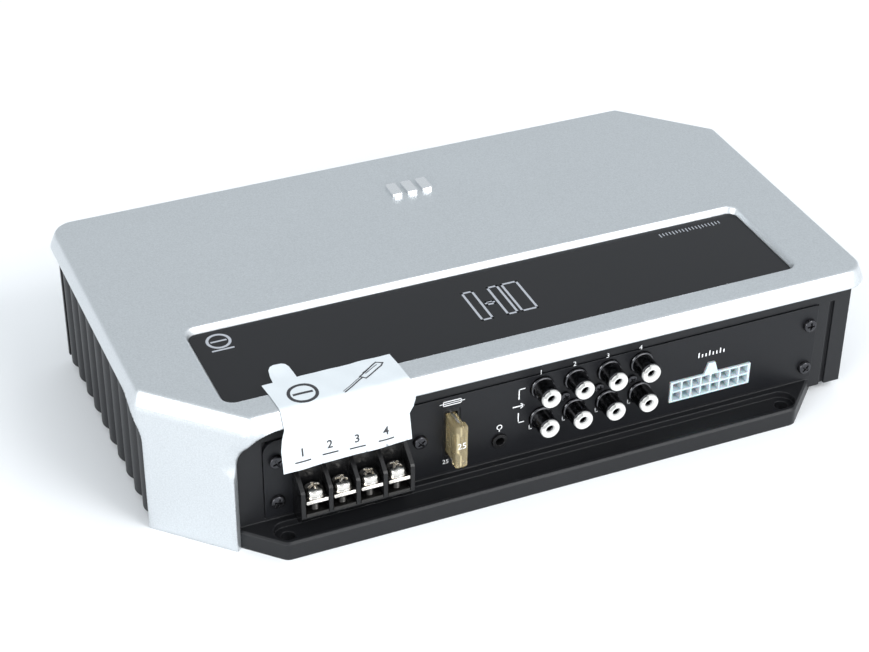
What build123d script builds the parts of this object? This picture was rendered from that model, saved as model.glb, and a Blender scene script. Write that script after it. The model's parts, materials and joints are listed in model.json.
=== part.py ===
from build123d import *
import os
from math import sqrt

os.makedirs("parts", exist_ok=True)

# Car amplifier. Millimetres, +Z up, X along the two connector sides.
# Origin: on the floor, under the middle of the unit.
# The inputs are on the -Y side and the outputs on the +Y side; the housing is the same turned half round.

# Driving dimensions: cover
cover_length = 292
cover_depth = 158
height = 62
cover_edge_z = 55.2       # lower edge of the sloped rim
rim_slope = 2.5           # how far the rim leans in towards the top
cover_wall = 3.6
cover_skin = 2.4
corner_cut = 33.3         # leg of the two 45 degree corners
corner_radius = 11
leg_wall = 2.6
side_arch_radius, side_arch_y = 15.2, -33.0
front_arch_radius, front_arch_x = 17.2, -100.8

# Driving dimensions: glossy inlay in the cover
inlay_length, inlay_width = 236.8, 50.4
inlay_x, inlay_y = 1.1, -40.1
inlay_depth = 2.7
inlay_thickness = 1.3
inlay_slope = 1.2
inlay_corner = 5.0

# Driving dimensions: cast chassis
flange_depth = 170        # over both flanges
flange_top = 7.8
body_bottom = 3.5
body_half_y = 69.4
side_x = 141.0            # valleys of the side ribs
rib_height = 2.3
rib_count = 10
rib_end_y = 67.6
cut_sum = 186.0           # x + y of the casting's cut corner
flange_sum = 187.4        # x + y of the flange's left end
flange_right = 112.5
wall = 3.4
floor_top = 6.5
foot_rim = 8.0            # width of the rim that stands on the floor
casting_top = 59.4
hole_left, hole_right, hole_y, hole_radius = -99.6, 110.6, -77.6, 2.75
slot_radius, slot_floor = 5.4, 5.0

# Driving dimensions: connector panels, seen from outside
panel_face = 70.0
panel_thickness = 1.5
panel_left, panel_right, panel_bottom, panel_top = -105.4, 128.2, 9.4, 44.2
panel_screws = [(-100.6, 35.0), (-100.6, 16.5), (-43.9, 27.1), (124.5, 35.8), (124.5, 15.3)]
groove_x = 134.7

# Driving dimensions: board, its posts and the chips on the left wall
board_bottom, board_top = 13.0, 14.6
board_length, board_width = 250, 124
board_posts = [(-118, -44), (2, -44), (118, -44), (-118, 44), (2, 44), (118, 44)]
cover_posts = [(-131, -36), (131, 36), (-131, 50), (131, -50)]
cover_post_top = 30.0
chip_y = [-20, -2, 16, 34]
clamp_holes = [(-11, 24), (25, 24)]

# Driving dimensions: screw terminals
terminal_x = [-88.4, -77.6, -66.8, -56.0]
terminal_pitch = 10.8
terminal_y = -75.9
terminal_front = 79.5
divider = 1.6
plate_top = 14.4
clamp_bottom = 19.4
clamp_thickness = 1.2
screw_radius = 1.8        # M4 with its thread, in a hole 0.05 larger

# Driving dimensions: blade fuse
fuse_x, fuse_z = -30.8, 27.0
fuse_front = 79.5
blade_gap = 7.0           # from the middle to each blade's centre

# Driving dimensions: phono sockets
rca_x = [6.3, 20.45, 34.6, 48.75]
rca_z = [24.2, 38.3]
rca_front = 79.2
rca_back = 60.8
rca_top = 43.3
barrel_radius, collar_radius, neck_radius = 4.15, 4.9, 3.6
collar_face = 71.1
rca_screws = [(16.3, 31.2), (30.8, 31.2), (45.1, 31.2)]

# Driving dimensions: 16 way headers
header_width, header_low, header_high = 36.0, 14.9, 24.6
header_cells = 8
cell_pitch, row_gap = 4.3, 4.5
input_header_x = 80.6
speaker_header_x = -66.0

# Smaller ports
mic_x, mic_z = -11.0, 17.9
usb_x, usb_z = 80.0, 19.9
control_x, control_z = 106.0, 22.0


def front(depth):
    """Vertical plane at y = -depth: its x is X, its y is Z, and its normal points outwards."""
    return Plane.XZ.offset(depth)


def cover_outline(inset, mode=Mode.ADD):
    """Plan of the cover, inset from its outer edge, with two opposite corners cut at 45 degrees."""
    x, y = cover_length / 2 - inset, cover_depth / 2 - inset
    cut = corner_cut - inset * (2 - sqrt(2))
    round_corner, soft_corner = corner_radius - inset, 5 - inset / 2
    with BuildLine() as edge_line:
        FilletPolyline(
            (-x + cut, -y), (x, -y), (x, y - cut), (x - cut, y), (-x, y), (-x, -y + cut),
            radius=[soft_corner, round_corner, soft_corner, soft_corner, round_corner, soft_corner],
            close=True,
        )
    make_face(edge_line.edges(), mode=mode)


def inlay_shape(inset):
    """Rounded rectangle of the inlay's recess, inset from its rim."""
    with Locations((inlay_x, inlay_y)):
        RectangleRounded(inlay_length - 2 * inset, inlay_width - 2 * inset, inlay_corner - inset)


def finish(part, label):
    part.label = label
    export_step(part, f"parts/{label}.step")


# ---------------------------------------------------------------- top cover
with BuildPart() as cover_leg:
    with BuildSketch():
        cover_outline(0)
        cover_outline(leg_wall, mode=Mode.SUBTRACT)
        with Locations((-cover_length / 2, -cover_depth / 2)):
            Rectangle(
                cover_length + 2 * front_arch_x,
                cover_depth + 2 * side_arch_y,
                mode=Mode.INTERSECT,
            )
    extrude(amount=cover_edge_z)
    with BuildSketch(Plane.YZ.offset(-cover_length / 2)):
        with Locations((side_arch_y, cover_edge_z - side_arch_radius)):
            Circle(side_arch_radius)
            Rectangle(
                side_arch_radius, cover_edge_z, align=(Align.MAX, Align.MAX)
            )
    extrude(amount=leg_wall + 4, mode=Mode.SUBTRACT)
    with BuildSketch(front(cover_depth / 2)):
        with Locations((front_arch_x, cover_edge_z - front_arch_radius)):
            Circle(front_arch_radius)
            Rectangle(
                front_arch_radius, cover_edge_z, align=(Align.MAX, Align.MAX)
            )
    extrude(amount=-(leg_wall + 9), mode=Mode.SUBTRACT)

with BuildPart() as top_cover:
    with BuildSketch(Plane.XY.offset(cover_edge_z)):
        cover_outline(0)
    with BuildSketch(Plane.XY.offset(height)):
        cover_outline(rim_slope)
    loft()
    with BuildSketch(Plane.XY.offset(cover_edge_z)):
        cover_outline(cover_wall)
    extrude(amount=height - cover_edge_z - cover_skin, mode=Mode.SUBTRACT)
    # Pocket for the inlay, with the skin stepped down under it
    with BuildSketch(Plane.XY.offset(height - 2 * inlay_depth)):
        inlay_shape(-0.4)
    extrude(amount=2 * inlay_depth - 1)
    with BuildSketch(Plane.XY.offset(height)):
        inlay_shape(0)
    with BuildSketch(Plane.XY.offset(height - inlay_depth)):
        inlay_shape(inlay_slope)
    loft(mode=Mode.SUBTRACT)
    with BuildSketch(Plane.XY.offset(height - inlay_depth)):
        inlay_shape(inlay_slope)
    extrude(amount=-inlay_thickness, mode=Mode.SUBTRACT)
    # Screw bosses that stand on the chassis posts
    with BuildSketch(Plane.XY.offset(cover_post_top)):
        with Locations(*cover_posts):
            Circle(4.5)
    extrude(amount=height - cover_skin - cover_post_top)
    with BuildSketch(Plane.XY.offset(cover_post_top)):
        with Locations(*cover_posts):
            Circle(1.5)
    extrude(amount=20, mode=Mode.SUBTRACT)
    add(cover_leg.part)
    add(cover_leg.part.rotate(Axis.Z, 180))
finish(top_cover.part, "top_cover")

with BuildPart() as cover_inlay:
    with BuildSketch(Plane.XY.offset(height - inlay_depth)):
        inlay_shape(inlay_slope + 0.1)
    extrude(amount=-inlay_thickness)
finish(cover_inlay.part, "cover_inlay")

# A plain badge: three rising level bars on the cover
with BuildPart() as cover_emblem:
    with BuildSketch(Plane.XY.offset(height)):
        for bar, length in enumerate((5.0, 7.6, 10.4)):
            with Locations((7.5 - 6.6 * bar, 53.0 - length / 2)):
                RectangleRounded(4.6, length, 1.0)
    extrude(amount=1.5)
finish(cover_emblem.part, "cover_emblem")


# ---------------------------------------------------------------- cast chassis
def rib_edge(turn):
    """One ribbed side, from its cut corner to its square corner."""
    start_y = side_x - cut_sum
    pitch = (rib_end_y - start_y) / rib_count
    for rib in range(rib_count):
        low, high = start_y + rib * pitch, start_y + (rib + 1) * pitch
        ThreePointArc(
            (-turn * side_x, turn * low),
            (-turn * (side_x + rib_height), turn * (low + high) / 2),
            (-turn * side_x, turn * high),
        )
    Polyline(
        (-turn * side_x, turn * rib_end_y),
        (-turn * (side_x + 2), turn * rib_end_y),
        (-turn * (side_x + 2), turn * body_half_y),
        (turn * (cut_sum - body_half_y), turn * body_half_y),
        (turn * side_x, turn * (cut_sum - side_x)),
    )


def casting_outline(inset, mode=Mode.ADD):
    """Plain plan of the casting inside its ribs."""
    x, y, cut = side_x - inset, body_half_y - inset, cut_sum - inset * sqrt(2)
    with BuildLine() as edge_line:
        Polyline(
            (y - cut, -y), (x, -y), (x, cut - x), (cut - y, y), (-x, y), (-x, x - cut), close=True
        )
    make_face(edge_line.edges(), mode=mode)


with BuildPart() as flange:
    with BuildSketch():
        with BuildLine():
            edge = flange_depth / 2
            end_x = flange_right + edge - 66
            FilletPolyline(
                (edge - flange_sum, -edge), (flange_right, -edge), (end_x, -66), (66 - flange_sum, -66),
                radius=[4, 4, 0, 0],
                close=True,
            )
        make_face()
    extrude(amount=flange_top)
    chamfer(flange.faces().sort_by(Axis.Z)[-1].edges().sort_by(Axis.Y)[0:5], 0.8)
    with BuildSketch(Plane.XY.offset(slot_floor)):
        with Locations(((hole_left + hole_right) / 2, hole_y)):
            SlotCenterToCenter(hole_right - hole_left, 2 * slot_radius)
    extrude(amount=flange_top, mode=Mode.SUBTRACT)
    with Locations((hole_left, hole_y, slot_floor), (hole_right, hole_y, slot_floor)):
        Hole(hole_radius)

with BuildPart() as chassis_base:
    # Walls with ribbed sides, and the raised rim that closes the gap under the cover
    with BuildSketch(Plane.XY.offset(body_bottom)):
        with BuildLine():
            rib_edge(1)
            rib_edge(-1)
        make_face()
    extrude(amount=cover_edge_z - body_bottom)
    with BuildSketch(Plane.XY.offset(cover_edge_z)):
        casting_outline(0.2)
    extrude(amount=casting_top - cover_edge_z)
    # Foot that stands on the floor, inset from the ribs
    with BuildSketch():
        casting_outline(6)
        casting_outline(6 + foot_rim, mode=Mode.SUBTRACT)
    extrude(amount=body_bottom)
    add(flange.part)
    add(flange.part.rotate(Axis.Z, 180))
    with BuildSketch(Plane.XY.offset(floor_top)):
        casting_outline(wall)
    extrude(amount=casting_top, mode=Mode.SUBTRACT)
    for side in (1, -1):
        # Window and pocket for the connector panel
        outside = Plane(origin=(0, -side * body_half_y, 0), x_dir=(side, 0, 0), z_dir=(0, -side, 0))
        with BuildSketch(outside):
            with Locations(((panel_left + panel_right) / 2, (panel_bottom + panel_top) / 2)):
                Rectangle(panel_right - panel_left + 0.4, panel_top - panel_bottom + 0.4)
        extrude(amount=-(body_half_y - panel_face + panel_thickness), mode=Mode.SUBTRACT)
        with BuildSketch(outside):
            with Locations(((panel_left + panel_right) / 2, (panel_bottom + panel_top) / 2 + 0.4)):
                Rectangle(panel_right - panel_left - 3, panel_top - panel_bottom - 2.2)
            # Screw bosses, with webs that tie them to the frame
            with Locations(*panel_screws):
                Circle(3.2, mode=Mode.SUBTRACT)
            with Locations(*panel_screws[:2]):
                Rectangle(6.4, 6.4, align=(Align.MAX, Align.CENTER), mode=Mode.SUBTRACT)
            with Locations(panel_screws[2]):
                Rectangle(6.4, 2 * wall + 12, align=(Align.CENTER, Align.MAX), mode=Mode.SUBTRACT)
        extrude(amount=-2 * wall, mode=Mode.SUBTRACT)
        with BuildSketch(outside):
            with Locations((groove_x, (body_bottom + panel_top) / 2)):
                Rectangle(2.4, panel_top - body_bottom)
        extrude(amount=-1.3, mode=Mode.SUBTRACT)
        with BuildSketch(outside):
            with Locations(*panel_screws):
                Circle(1.5)
        extrude(amount=-2 * wall, mode=Mode.SUBTRACT)
    # Posts for the board and for the cover
    with BuildSketch(Plane.XY.offset(floor_top)):
        with Locations(*board_posts):
            Circle(3.6)
    extrude(amount=board_bottom - floor_top)
    with BuildSketch(Plane.XY.offset(board_bottom)):
        with Locations(*board_posts):
            Circle(1.5)
    extrude(amount=-7, mode=Mode.SUBTRACT)
    with BuildSketch(Plane.XY.offset(floor_top)):
        with Locations(*cover_posts):
            Circle(4.5)
    extrude(amount=cover_post_top - floor_top)
    with BuildSketch():
        with Locations(*cover_posts):
            Circle(1.7)
    extrude(amount=cover_post_top, mode=Mode.SUBTRACT)
    with BuildSketch():
        with Locations(*cover_posts):
            Circle(3.3)
    extrude(amount=2.4, mode=Mode.SUBTRACT)
    # Threaded holes in the left wall for the chip clamp
    with BuildSketch(Plane.YZ.offset(-side_x + wall)):
        with Locations(*clamp_holes):
            Circle(1.5)
    extrude(amount=-3, mode=Mode.SUBTRACT)
finish(chassis_base.part, "chassis_base")


# ---------------------------------------------------------------- connector panels
def panel_blank():
    """The plate and its screw holes, seen from outside."""
    with BuildLine() as edge_line:
        FilletPolyline(
            (panel_left, panel_bottom), (panel_right, panel_bottom),
            (panel_right, panel_top), (panel_left, panel_top),
            radius=[1, 1, 1, 5.5],
            close=True,
        )
    make_face(edge_line.edges())
    with Locations(*panel_screws):
        Circle(1.7, mode=Mode.SUBTRACT)
    with Locations(*[(x, z) for x in rca_x for z in rca_z]):
        Circle(5.0, mode=Mode.SUBTRACT)
    with Locations(*rca_screws):
        Circle(1.3, mode=Mode.SUBTRACT)


def header_window(x, margin, mode):
    """Outline of a header with its latch ramp, seen from outside."""
    middle = (header_low + header_high) / 2
    with Locations((x, middle)):
        Rectangle(header_width + 2 * margin, header_high - header_low + 2 * margin, mode=mode)
    with BuildLine() as ramp_line:
        Polyline(
            (x - 3.4 - margin, header_high - 1), (x + 3.4 + margin, header_high - 1),
            (x + 1.5 + margin, header_high + 5 + margin), (x - 1.5 - margin, header_high + 5 + margin),
            close=True,
        )
    make_face(ramp_line.edges(), mode=mode)


with BuildPart() as input_panel:
    with BuildSketch(front(panel_face)):
        panel_blank()
        header_window(input_header_x, 0.3, Mode.SUBTRACT)
        with Locations(((terminal_x[0] + terminal_x[-1]) / 2, 21)):
            Rectangle(41, 12, mode=Mode.SUBTRACT)
        with Locations((fuse_x, fuse_z)):
            Rectangle(6.8, 22.4, mode=Mode.SUBTRACT)
        with Locations((mic_x, mic_z)):
            Circle(3.1, mode=Mode.SUBTRACT)
    extrude(amount=-panel_thickness)
finish(input_panel.part, "input_panel")

with BuildPart() as output_plate:
    with BuildSketch(front(panel_face)):
        panel_blank()
        header_window(speaker_header_x, 0.3, Mode.SUBTRACT)
        with Locations((usb_x, usb_z)):
            RectangleRounded(12.8, 11.4, 0.8, mode=Mode.SUBTRACT)
        with Locations((control_x, control_z)):
            Rectangle(16.4, 13.4, mode=Mode.SUBTRACT)
    extrude(amount=-panel_thickness)

with BuildPart() as output_panel:
    add(output_plate.part.rotate(Axis.Z, 180))
finish(output_panel.part, "output_panel")


# ---------------------------------------------------------------- screw terminals
terminal_middle = (terminal_x[0] + terminal_x[-1]) / 2
terminal_width = 4 * terminal_pitch + divider

with BuildPart() as terminal_block:
    # Base with its sloped lower front edge, and the back wall against the panel
    with BuildSketch(Plane.YZ.offset(terminal_middle - terminal_width / 2)):
        with BuildLine():
            Polyline(
                (-panel_face, 8.8), (-76.4, 8.8), (-terminal_front, 12.6), (-terminal_front, 13.2),
                (-71.6, 13.2), (-71.6, 31.0), (-panel_face, 31.0), close=True,
            )
        make_face()
    extrude(amount=terminal_width)
    for place in range(5):
        with BuildSketch(Plane.YZ.offset(terminal_middle - terminal_width / 2 + place * terminal_pitch)):
            with BuildLine():
                Polyline(
                    (-71.6, 13.2), (-terminal_front, 13.2), (-terminal_front, 24.0), (-78.9, 24.8),
                    (-71.6, 30.4), close=True,
                )
            make_face()
        extrude(amount=divider)
    # Body behind the panel, down to the board
    with BuildSketch(front(panel_face)):
        with Locations((terminal_middle, 21)):
            Rectangle(40.4, 11.4)
    extrude(amount=-9)
    with BuildSketch(front(panel_face - panel_thickness - 0.1)):
        with Locations((terminal_middle, 20.8)):
            Rectangle(42, 12.4)
    extrude(amount=-7.4)
    # Wells for the screw ends
    with BuildSketch(Plane.XY.offset(13.2)):
        with Locations(*[(x, terminal_y) for x in terminal_x]):
            Circle(2.1)
    extrude(amount=-4.1, mode=Mode.SUBTRACT)
finish(terminal_block.part, "terminal_block")

with BuildPart() as terminal_plates:
    with BuildSketch(Plane.XY.offset(13.2)):
        with Locations(*[(x, terminal_y + 0.3) for x in terminal_x]):
            Rectangle(8.6, 7.6)
        with Locations(*[(x, terminal_y) for x in terminal_x]):
            Circle(screw_radius + 0.05, mode=Mode.SUBTRACT)
    extrude(amount=plate_top - 13.2)
finish(terminal_plates.part, "terminal_plates")

clamp_top = clamp_bottom + clamp_thickness
for number, x in enumerate(terminal_x, start=1):
    with BuildPart() as terminal_clamp:
        with BuildSketch(Plane.XY.offset(clamp_bottom)):
            with Locations((x, terminal_y)):
                RectangleRounded(8.6, 8.2, 0.6)
                Circle(screw_radius + 0.35, mode=Mode.SUBTRACT)
        extrude(amount=clamp_thickness)
        # Two pressed ribs that grip the wire
        with BuildSketch(Plane.XY.offset(clamp_bottom)):
            with Locations((x, terminal_y - 3), (x, terminal_y + 3)):
                Rectangle(7.6, 0.7)
        extrude(amount=-0.4)
    finish(terminal_clamp.part, f"terminal_clamp_{number}")

    with BuildPart() as terminal_washer:
        with BuildSketch(Plane.XY.offset(clamp_top)):
            with Locations((x, terminal_y)):
                Circle(3.9)
                Circle(screw_radius + 0.2, mode=Mode.SUBTRACT)
            with Locations((x + 3, terminal_y)):
                Rectangle(3, 0.5, mode=Mode.SUBTRACT)
        extrude(amount=1.0)
    finish(terminal_washer.part, f"terminal_washer_{number}")

    with BuildPart() as terminal_screw:
        with BuildSketch(Plane.XY.offset(clamp_top + 1.0)):
            with Locations((x, terminal_y)):
                Circle(3.7)
        extrude(amount=3.0)
        fillet(terminal_screw.faces().sort_by(Axis.Z)[-1].edges(), 1.3)
        with BuildSketch(Plane.XY.offset(clamp_top + 4.0)):
            with Locations((x, terminal_y)):
                Rectangle(4.6, 0.9)
                Rectangle(0.9, 4.6)
        extrude(amount=-1.6, mode=Mode.SUBTRACT)
        with BuildSketch(Plane.XY.offset(clamp_top + 1.0)):
            with Locations((x, terminal_y)):
                Circle(screw_radius)
        extrude(amount=-7.9)
    finish(terminal_screw.part, f"terminal_screw_{number}")


# ---------------------------------------------------------------- blade fuse and its holder
blade_z = [fuse_z - blade_gap, fuse_z + blade_gap]

with BuildPart() as fuse_holder:
    with BuildSketch(front(panel_face - 0.2)):
        with Locations((fuse_x, fuse_z)):
            Rectangle(6.4, 22.0)
    extrude(amount=-17)
    with BuildSketch(front(panel_face - panel_thickness - 0.1)):
        with Locations((fuse_x, fuse_z)):
            Rectangle(9.0, 24.6)
    extrude(amount=-13)
    with BuildSketch(front(panel_face)):
        with Locations((fuse_x, fuse_z)):
            Rectangle(4.8, 19.8)
    extrude(amount=-4, mode=Mode.SUBTRACT)
    with BuildSketch(front(panel_face - 4)):
        with Locations(*[(fuse_x, z) for z in blade_z]):
            Rectangle(2.2, 5.8)
    extrude(amount=-9, mode=Mode.SUBTRACT)
    with BuildSketch(front(60)):
        with Locations((fuse_x, (board_top + fuse_z) / 2)):
            Rectangle(7, fuse_z - board_top)
    extrude(amount=-6)
    with BuildSketch(front(panel_face - 4)):
        with Locations(*[(fuse_x, z) for z in blade_z]):
            Rectangle(2.2, 5.8)
    extrude(amount=-9, mode=Mode.SUBTRACT)
finish(fuse_holder.part, "fuse_holder")

with BuildPart() as fuse_clips:
    with BuildSketch(front(65)):
        with Locations(*[(fuse_x + side * 0.72, z) for z in blade_z for side in (-1, 1)]):
            Rectangle(0.5, 5.2)
    extrude(amount=-7)
finish(fuse_clips.part, "fuse_clips")

with BuildPart() as fuse_element:
    with BuildSketch(Plane.YZ.offset(fuse_x - 0.35)):
        with Locations(*[(-68.2, z) for z in blade_z]):
            Rectangle(19.6, 5.0)
        with Locations((-73.6, fuse_z)):
            Rectangle(1.6, 2 * blade_gap)
        with Locations((-76, fuse_z - 2.2), (-71.2, fuse_z + 2.2)):
            Circle(1.6, mode=Mode.SUBTRACT)
    extrude(amount=0.7)
finish(fuse_element.part, "fuse_element")

with BuildPart() as fuse_body:
    with BuildSketch(front(fuse_front)):
        with Locations((fuse_x, fuse_z)):
            RectangleRounded(5.2, 19.2, 1.2)
    extrude(amount=-5.4)
    with BuildSketch(front(fuse_front - 5.4)):
        with Locations((fuse_x, fuse_z)):
            RectangleRounded(4.0, 18.6, 0.8)
    extrude(amount=-7.4)
    chamfer(fuse_body.faces().sort_by(Axis.Y)[0].edges(), 0.5)
    add(fuse_element.part, mode=Mode.SUBTRACT)
finish(fuse_body.part, "fuse_body")


# ---------------------------------------------------------------- microphone socket
with BuildPart() as mic_jack:
    with BuildSketch(front(panel_face + 1)):
        with Locations((mic_x, mic_z)):
            Circle(3.0)
    extrude(amount=-3)
    with BuildSketch(front(panel_face - panel_thickness - 0.1)):
        with Locations((mic_x, mic_z)):
            Rectangle(9, 2 * (mic_z - board_top))
    extrude(amount=-13)
    with BuildSketch(front(panel_face + 1)):
        with Locations((mic_x, mic_z)):
            Circle(1.8)
    extrude(amount=-12, mode=Mode.SUBTRACT)
finish(mic_jack.part, "mic_jack")


# ---------------------------------------------------------------- phono sockets
sockets = [(x, z) for x in rca_x for z in rca_z]
shell_end = rca_front - 1.4

with BuildPart() as rca_input_housing:
    with BuildSketch(front(panel_face - panel_thickness - 0.1)):
        with Locations(((rca_x[0] + rca_x[-1]) / 2, (board_top + rca_top) / 2)):
            Rectangle(57, rca_top - board_top)
        with Locations(*sockets):
            Circle(neck_radius + 0.05, mode=Mode.SUBTRACT)
        with Locations(*rca_screws):
            Circle(1.2, mode=Mode.SUBTRACT)
    extrude(amount=-15)
finish(rca_input_housing.part, "rca_input_housing")

# Each barrel has a collar in the panel's hole and a neck in the housing
with BuildPart() as rca_input_shells:
    with BuildSketch(front(rca_back)):
        with Locations(*sockets):
            Circle(neck_radius)
    extrude(amount=collar_face - rca_back)
    with BuildSketch(front(panel_face - panel_thickness)):
        with Locations(*sockets):
            Circle(collar_radius)
    extrude(amount=collar_face - panel_face + panel_thickness)
    with BuildSketch(front(collar_face)):
        with Locations(*sockets):
            Circle(barrel_radius)
    extrude(amount=shell_end - collar_face)
    with BuildSketch(front(rca_front)):
        with Locations(*sockets):
            Circle(3.1)
    extrude(amount=rca_back - rca_front, mode=Mode.SUBTRACT)
finish(rca_input_shells.part, "rca_input_shells")

with BuildPart() as rca_input_insulators:
    with BuildSketch(front(shell_end)):
        with Locations(*sockets):
            Circle(barrel_radius)
    extrude(amount=rca_front - shell_end)
    with BuildSketch(front(shell_end)):
        with Locations(*sockets):
            Circle(3.05)
    extrude(amount=rca_back - shell_end)
    with BuildSketch(front(rca_front)):
        with Locations(*sockets):
            Circle(1.6)
    extrude(amount=-4, mode=Mode.SUBTRACT)
    with BuildSketch(front(rca_front - 3)):
        with Locations(*sockets):
            Circle(2.0)
    extrude(amount=-12, mode=Mode.SUBTRACT)
finish(rca_input_insulators.part, "rca_input_insulators")

with BuildPart() as rca_input_contacts:
    with BuildSketch(front(rca_front - 3.2)):
        with Locations(*sockets):
            Circle(1.95)
            Circle(1.6, mode=Mode.SUBTRACT)
    extrude(amount=-11)
finish(rca_input_contacts.part, "rca_input_contacts")

for piece, label in (
    (rca_input_housing, "rca_output_housing"),
    (rca_input_shells, "rca_output_shells"),
    (rca_input_insulators, "rca_output_insulators"),
    (rca_input_contacts, "rca_output_contacts"),
):
    with BuildPart() as rca_output_piece:
        add(piece.part.rotate(Axis.Z, 180))
    finish(rca_output_piece.part, label)


# ---------------------------------------------------------------- 16 way headers
def header_places(x):
    middle = (header_low + header_high) / 2
    columns = [x + (i - (header_cells - 1) / 2) * cell_pitch for i in range(header_cells)]
    return [(column, middle + side * row_gap / 2) for column in columns for side in (-1, 1)]


def header_housing(x):
    """Shell with one square cell per contact and a latch ramp on top."""
    with BuildSketch(front(panel_face + 0.6)) as shell:
        header_window(x, 0, Mode.ADD)
    extrude(shell.sketch, amount=-12)
    with BuildSketch(front(60)) as foot:
        with Locations((x, (board_top + header_high) / 2)):
            Rectangle(header_width, header_high - board_top)
    extrude(foot.sketch, amount=-3)
    with BuildSketch(front(panel_face + 0.6)) as cells:
        with Locations(*header_places(x)):
            Rectangle(3.6, 3.7)
    extrude(cells.sketch, amount=-9.6, mode=Mode.SUBTRACT)
    with BuildSketch(front(62)) as pin_holes:
        with Locations(*header_places(x)):
            Rectangle(1.1, 1.1)
    extrude(pin_holes.sketch, amount=-8, mode=Mode.SUBTRACT)


def header_pins(x):
    """Square pins that turn down to the board behind the housing."""
    with BuildSketch(front(68)) as straight:
        with Locations(*header_places(x)):
            Rectangle(1.0, 1.0)
    extrude(straight.sketch, amount=-12.6)
    for row, depth in ((0, 54.9), (1, 52.4)):
        places = header_places(x)[row::2]
        top = places[0][1] + 0.5
        with BuildSketch(Plane.XY.offset(board_top)) as legs:
            with Locations(*[(column, -depth) for column, z in places]):
                Rectangle(1.0, 1.0)
        extrude(legs.sketch, amount=top - board_top)
        with BuildSketch(Plane.XY.offset(top - 1.0)) as bends:
            with Locations(*[(column, -(56 + depth) / 2) for column, z in places]):
                Rectangle(1.0, 56 - depth)
        extrude(bends.sketch, amount=1.0)


with BuildPart() as input_header:
    header_housing(input_header_x)
finish(input_header.part, "input_header")

with BuildPart() as input_header_pins:
    header_pins(input_header_x)
finish(input_header_pins.part, "input_header_pins")

with BuildPart() as speaker_shell:
    header_housing(speaker_header_x)

with BuildPart() as speaker_header:
    add(speaker_shell.part.rotate(Axis.Z, 180))
finish(speaker_header.part, "speaker_header")

with BuildPart() as speaker_pins:
    header_pins(speaker_header_x)

with BuildPart() as speaker_header_pins:
    add(speaker_pins.part.rotate(Axis.Z, 180))
finish(speaker_header_pins.part, "speaker_header_pins")


# ---------------------------------------------------------------- data and control ports
with BuildPart() as usb_can:
    with BuildSketch(front(panel_face + 0.4)):
        with Locations((usb_x, usb_z)):
            Rectangle(12.0, 10.6)
            Rectangle(11.2, 9.8, mode=Mode.SUBTRACT)
    extrude(amount=-16)
    with BuildSketch(front(panel_face - 15)):
        with Locations((usb_x, (board_top + usb_z + 5.3) / 2)):
            Rectangle(12.0, usb_z + 5.3 - board_top)
    extrude(amount=-0.6)

with BuildPart() as usb_shell:
    add(usb_can.part.rotate(Axis.Z, 180))
finish(usb_shell.part, "usb_shell")

with BuildPart() as usb_core:
    with BuildSketch(front(panel_face - 0.6)):
        with Locations((usb_x, usb_z)):
            Rectangle(5.6, 3.2)
    extrude(amount=-12)
    with BuildSketch(front(panel_face - 12.4)):
        with Locations((usb_x, usb_z)):
            Rectangle(11.0, 9.6)
    extrude(amount=-2.4)

with BuildPart() as usb_tongue:
    add(usb_core.part.rotate(Axis.Z, 180))
finish(usb_tongue.part, "usb_tongue")

with BuildPart() as control_socket:
    with BuildSketch(front(panel_face + 0.4)):
        with Locations((control_x, control_z)):
            Rectangle(16.0, 13.0)
    extrude(amount=-15)
    with BuildSketch(front(panel_face - 4)):
        with Locations((control_x, (board_top + control_z) / 2)):
            Rectangle(16.0, control_z - board_top)
    extrude(amount=-10.6)
    with BuildSketch(front(panel_face + 0.4)):
        with Locations((control_x, control_z + 0.8)):
            Rectangle(11.8, 7.4)
        with Locations((control_x, control_z - 3.6)):
            Rectangle(6.4, 2.6)
    extrude(amount=-12, mode=Mode.SUBTRACT)

with BuildPart() as control_port:
    add(control_socket.part.rotate(Axis.Z, 180))
finish(control_port.part, "control_port")

with BuildPart() as control_wires:
    with BuildSketch(front(panel_face - 2)):
        with Locations(*[(control_x + (i - 3.5) * 1.02, control_z + 3.9) for i in range(8)]):
            Rectangle(0.4, 0.7)
    extrude(amount=-9)

with BuildPart() as control_port_contacts:
    add(control_wires.part.rotate(Axis.Z, 180))
finish(control_port_contacts.part, "control_port_contacts")


# ---------------------------------------------------------------- screws
def pan_screws(places, head_radius, head_height, shank_radius, length):
    """Pan head screws driven in from outside the panel, with cross recesses."""
    with BuildSketch(front(panel_face)) as heads:
        with Locations(*places):
            Circle(head_radius)
    extrude(heads.sketch, amount=head_height)
    with BuildSketch(front(panel_face + head_height)) as recesses:
        with Locations(*places):
            Rectangle(head_radius * 1.1, head_radius * 0.26)
            Rectangle(head_radius * 0.26, head_radius * 1.1)
    extrude(recesses.sketch, amount=-head_height * 0.6, mode=Mode.SUBTRACT)
    with BuildSketch(front(panel_face)) as shanks:
        with Locations(*places):
            Circle(shank_radius)
    extrude(shanks.sketch, amount=-length)


with BuildPart() as input_panel_screws:
    pan_screws(panel_screws, 2.8, 1.9, 1.45, 7)
finish(input_panel_screws.part, "input_panel_screws")

with BuildPart() as output_panel_screws:
    add(input_panel_screws.part.rotate(Axis.Z, 180))
finish(output_panel_screws.part, "output_panel_screws")

with BuildPart() as rca_input_screws:
    pan_screws(rca_screws, 2.1, 1.3, 1.15, 7)
finish(rca_input_screws.part, "rca_input_screws")

with BuildPart() as rca_output_screws:
    add(rca_input_screws.part.rotate(Axis.Z, 180))
finish(rca_output_screws.part, "rca_output_screws")

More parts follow.
